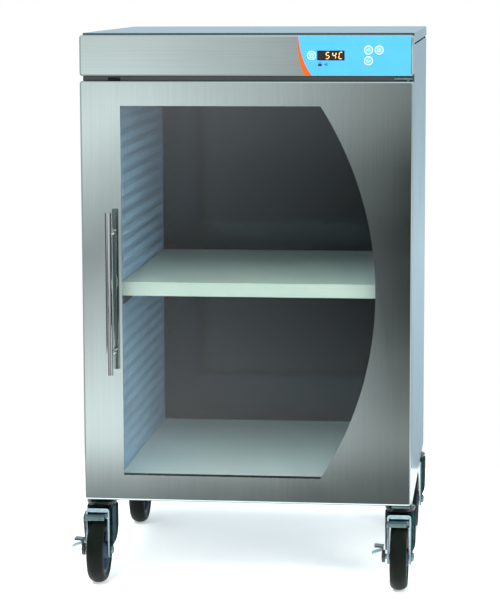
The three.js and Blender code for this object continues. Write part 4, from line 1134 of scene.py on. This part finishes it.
# Brightness of the surroundings against height: ahead on the left and on the right, behind, and elsewhere
SKY_LEFT = ((-0.330, 0.60), (-0.240, 0.12), (-0.215, 0.42), (-0.200, 1.30), (-0.180, 1.25), (-0.146, 0.84),
            (-0.112, 0.46), (-0.080, 0.84), (-0.055, 1.22), (-0.022, 0.98))
SKY_RIGHT = ((-0.330, 0.60), (-0.240, 0.14), (-0.215, 0.16), (-0.200, 0.42), (-0.180, 0.22), (-0.146, 0.06),
             (-0.112, 0.01), (-0.080, 0.05), (-0.055, 0.22), (-0.022, 0.33))
SKY_BEHIND = ((-0.330, 0.60), (-0.235, 0.30), (-0.198, 0.64), (-0.160, 0.76), (-0.116, 0.90), (-0.072, 0.70),
              (-0.033, 0.62), (0.02, 0.76), (0.10, 0.80))
SKY_ROOM = ((-0.9, 0.40), (-0.3, 0.52), (0.0, 0.66), (0.4, 0.95))
COOL = (0.68, 0.89, 1.0)
NEUTRAL = (0.90, 0.98, 1.0)
LAMP = (1.75, 1.78, 1.80)
SHADE = (0.04, 0.045, 0.05, 1)
FLAG = (0.07, 0.085, 0.09, 1)
# Where one light fades into the next, in parts of a unit direction
LEFT_TO_RIGHT = (-0.165, -0.035)
LAMP_EDGE = (0.0, 0.06)
LAMP_END = (0.45, 0.60)
SHADE_EDGE = (-0.25, -0.21)
SHADE_END = (-0.62, -0.50)
BANDS_END = (0.26, 0.45)
LEVEL_EDGE = (-0.25, -0.21)
LEVEL_END = (0.0, 0.40)
FRONT_TO_BACK = (-0.55, 0.10)
FLAG_EDGE = (0.86, 0.94)


class Sky(Nodes):
    """Light by its direction: across, deep, in height, and aside either way."""

    def __init__(self, owner):
        super().__init__(owner)
        self.nodes.clear()
        way = self.add("ShaderNodeTexCoord").outputs["Generated"]
        self.across, self.deep, self.height = self.add("ShaderNodeSeparateXYZ", {"Vector": way}).outputs
        self.aside = self.add("ShaderNodeMath", {0: self.across}, operation="ABSOLUTE").outputs["Value"]

    def fade(self, value, limits, a, b):
        """One light below a pair of limits and another above it."""
        inputs = {"Factor": self.reach(value, *limits), "A": a, "B": b}
        return self.add("ShaderNodeMix", inputs, data_type="RGBA").outputs["Result"]

    def bands(self, bands, tint=(1, 1, 1)):
        """Tinted light against height, from pairs of height and brightness."""
        bottom, top = bands[0][0], bands[-1][0]
        ramp = self.add("ShaderNodeValToRGB", {"Fac": self.reach(self.height, bottom, top)})
        stops = ramp.color_ramp.elements
        while len(stops) < len(bands):
            stops.new(0.5)
        for stop, (level, brightness) in zip(stops, bands):
            stop.position = (level - bottom) / (top - bottom)
            stop.color = (*[brightness * part for part in tint], 1)
        return ramp.outputs["Color"]


def world():
    """White for the camera. Round the object: bands of light ahead and behind, a lamp ahead on the right,
    a shade ahead on the left, and dark flags at the far sides."""
    made = bpy.data.worlds.new("studio")
    scene.world = made
    sky = Sky(made)
    room = sky.bands(SKY_ROOM, NEUTRAL)
    ahead = sky.fade(sky.across, LEFT_TO_RIGHT, sky.bands(SKY_LEFT), sky.bands(SKY_RIGHT))
    lamp_lit = sky.fade(sky.across, LAMP_EDGE, ahead, sky.bands(SKY_ROOM, LAMP))
    shade = sky.fade(sky.across, SHADE_END, room, SHADE)
    shaded = sky.fade(sky.across, SHADE_EDGE, shade, lamp_lit)
    level = sky.fade(sky.across, LAMP_END, shaded, room)
    below = sky.fade(sky.aside, BANDS_END, lamp_lit, room)
    facing = sky.fade(sky.height, LEVEL_EDGE, below, level)
    above = sky.fade(sky.height, LEVEL_END, facing, room)
    backdrop = sky.fade(sky.aside, BANDS_END, sky.bands(SKY_BEHIND, COOL), room)
    around = sky.fade(sky.deep, FRONT_TO_BACK, above, backdrop)
    flagged = sky.fade(sky.aside, FLAG_EDGE, around, FLAG)
    lit = sky.add("ShaderNodeBackground", {"Color": flagged}).outputs["Background"]
    seen = sky.add("ShaderNodeBackground", {"Color": (1, 1, 1, 1)}).outputs["Background"]
    to_camera = sky.add("ShaderNodeLightPath").outputs["Is Camera Ray"]
    chosen = sky.add("ShaderNodeMixShader", {"Fac": to_camera, 1: lit, 2: seen})
    sky.add("ShaderNodeOutputWorld", {"Surface": chosen.outputs["Shader"]})


def area_light(name, place, target, size, power):
    data = bpy.data.lights.new(name, "AREA")
    data.shape = "RECTANGLE"
    data.size, data.size_y = size
    data.energy = power
    light = bpy.data.objects.new(name, data)
    scene.collection.objects.link(light)
    light.location = place
    light.rotation_euler = (Vector(target) - Vector(place)).to_track_quat("-Z", "Y").to_euler()
    light.visible_camera = False
    light.visible_glossy = False


CAMERA_PLACE = (0.4915, -4.502, 1.1408)
CAMERA_DEGREES = (-6.43, -8.0, 0.19)
CAMERA_LENS = 135.4
CAMERA_SENSOR = 36.0


def camera():
    yaw, pitch, roll = [math.radians(degrees) for degrees in CAMERA_DEGREES]
    forward = Vector((math.sin(yaw) * math.cos(pitch), math.cos(yaw) * math.cos(pitch), math.sin(pitch)))
    right = Vector((math.cos(yaw), -math.sin(yaw), 0))
    down = forward.cross(right)
    leaned = right * math.cos(roll) + down * math.sin(roll)
    up = -forward.cross(leaned)
    data = bpy.data.cameras.new("camera")
    data.lens = CAMERA_LENS
    data.sensor_width = CAMERA_SENSOR
    data.clip_end = 100.0
    view = bpy.data.objects.new("camera", data)
    scene.collection.objects.link(view)
    turn = Matrix((leaned, up, -forward)).transposed()
    view.matrix_world = Matrix.Translation(CAMERA_PLACE) @ turn.to_4x4()
    scene.camera = view


scene.view_settings.view_transform = "Standard"
sheet_metal()
perforated_panel("left", -1)
perforated_panel("right", 1)
door_gasket()
insulation()
handle()
control_overlay()
display()
keys()
indicator_signs()
cord_gland()
screws()
casters()
studio()
camera()
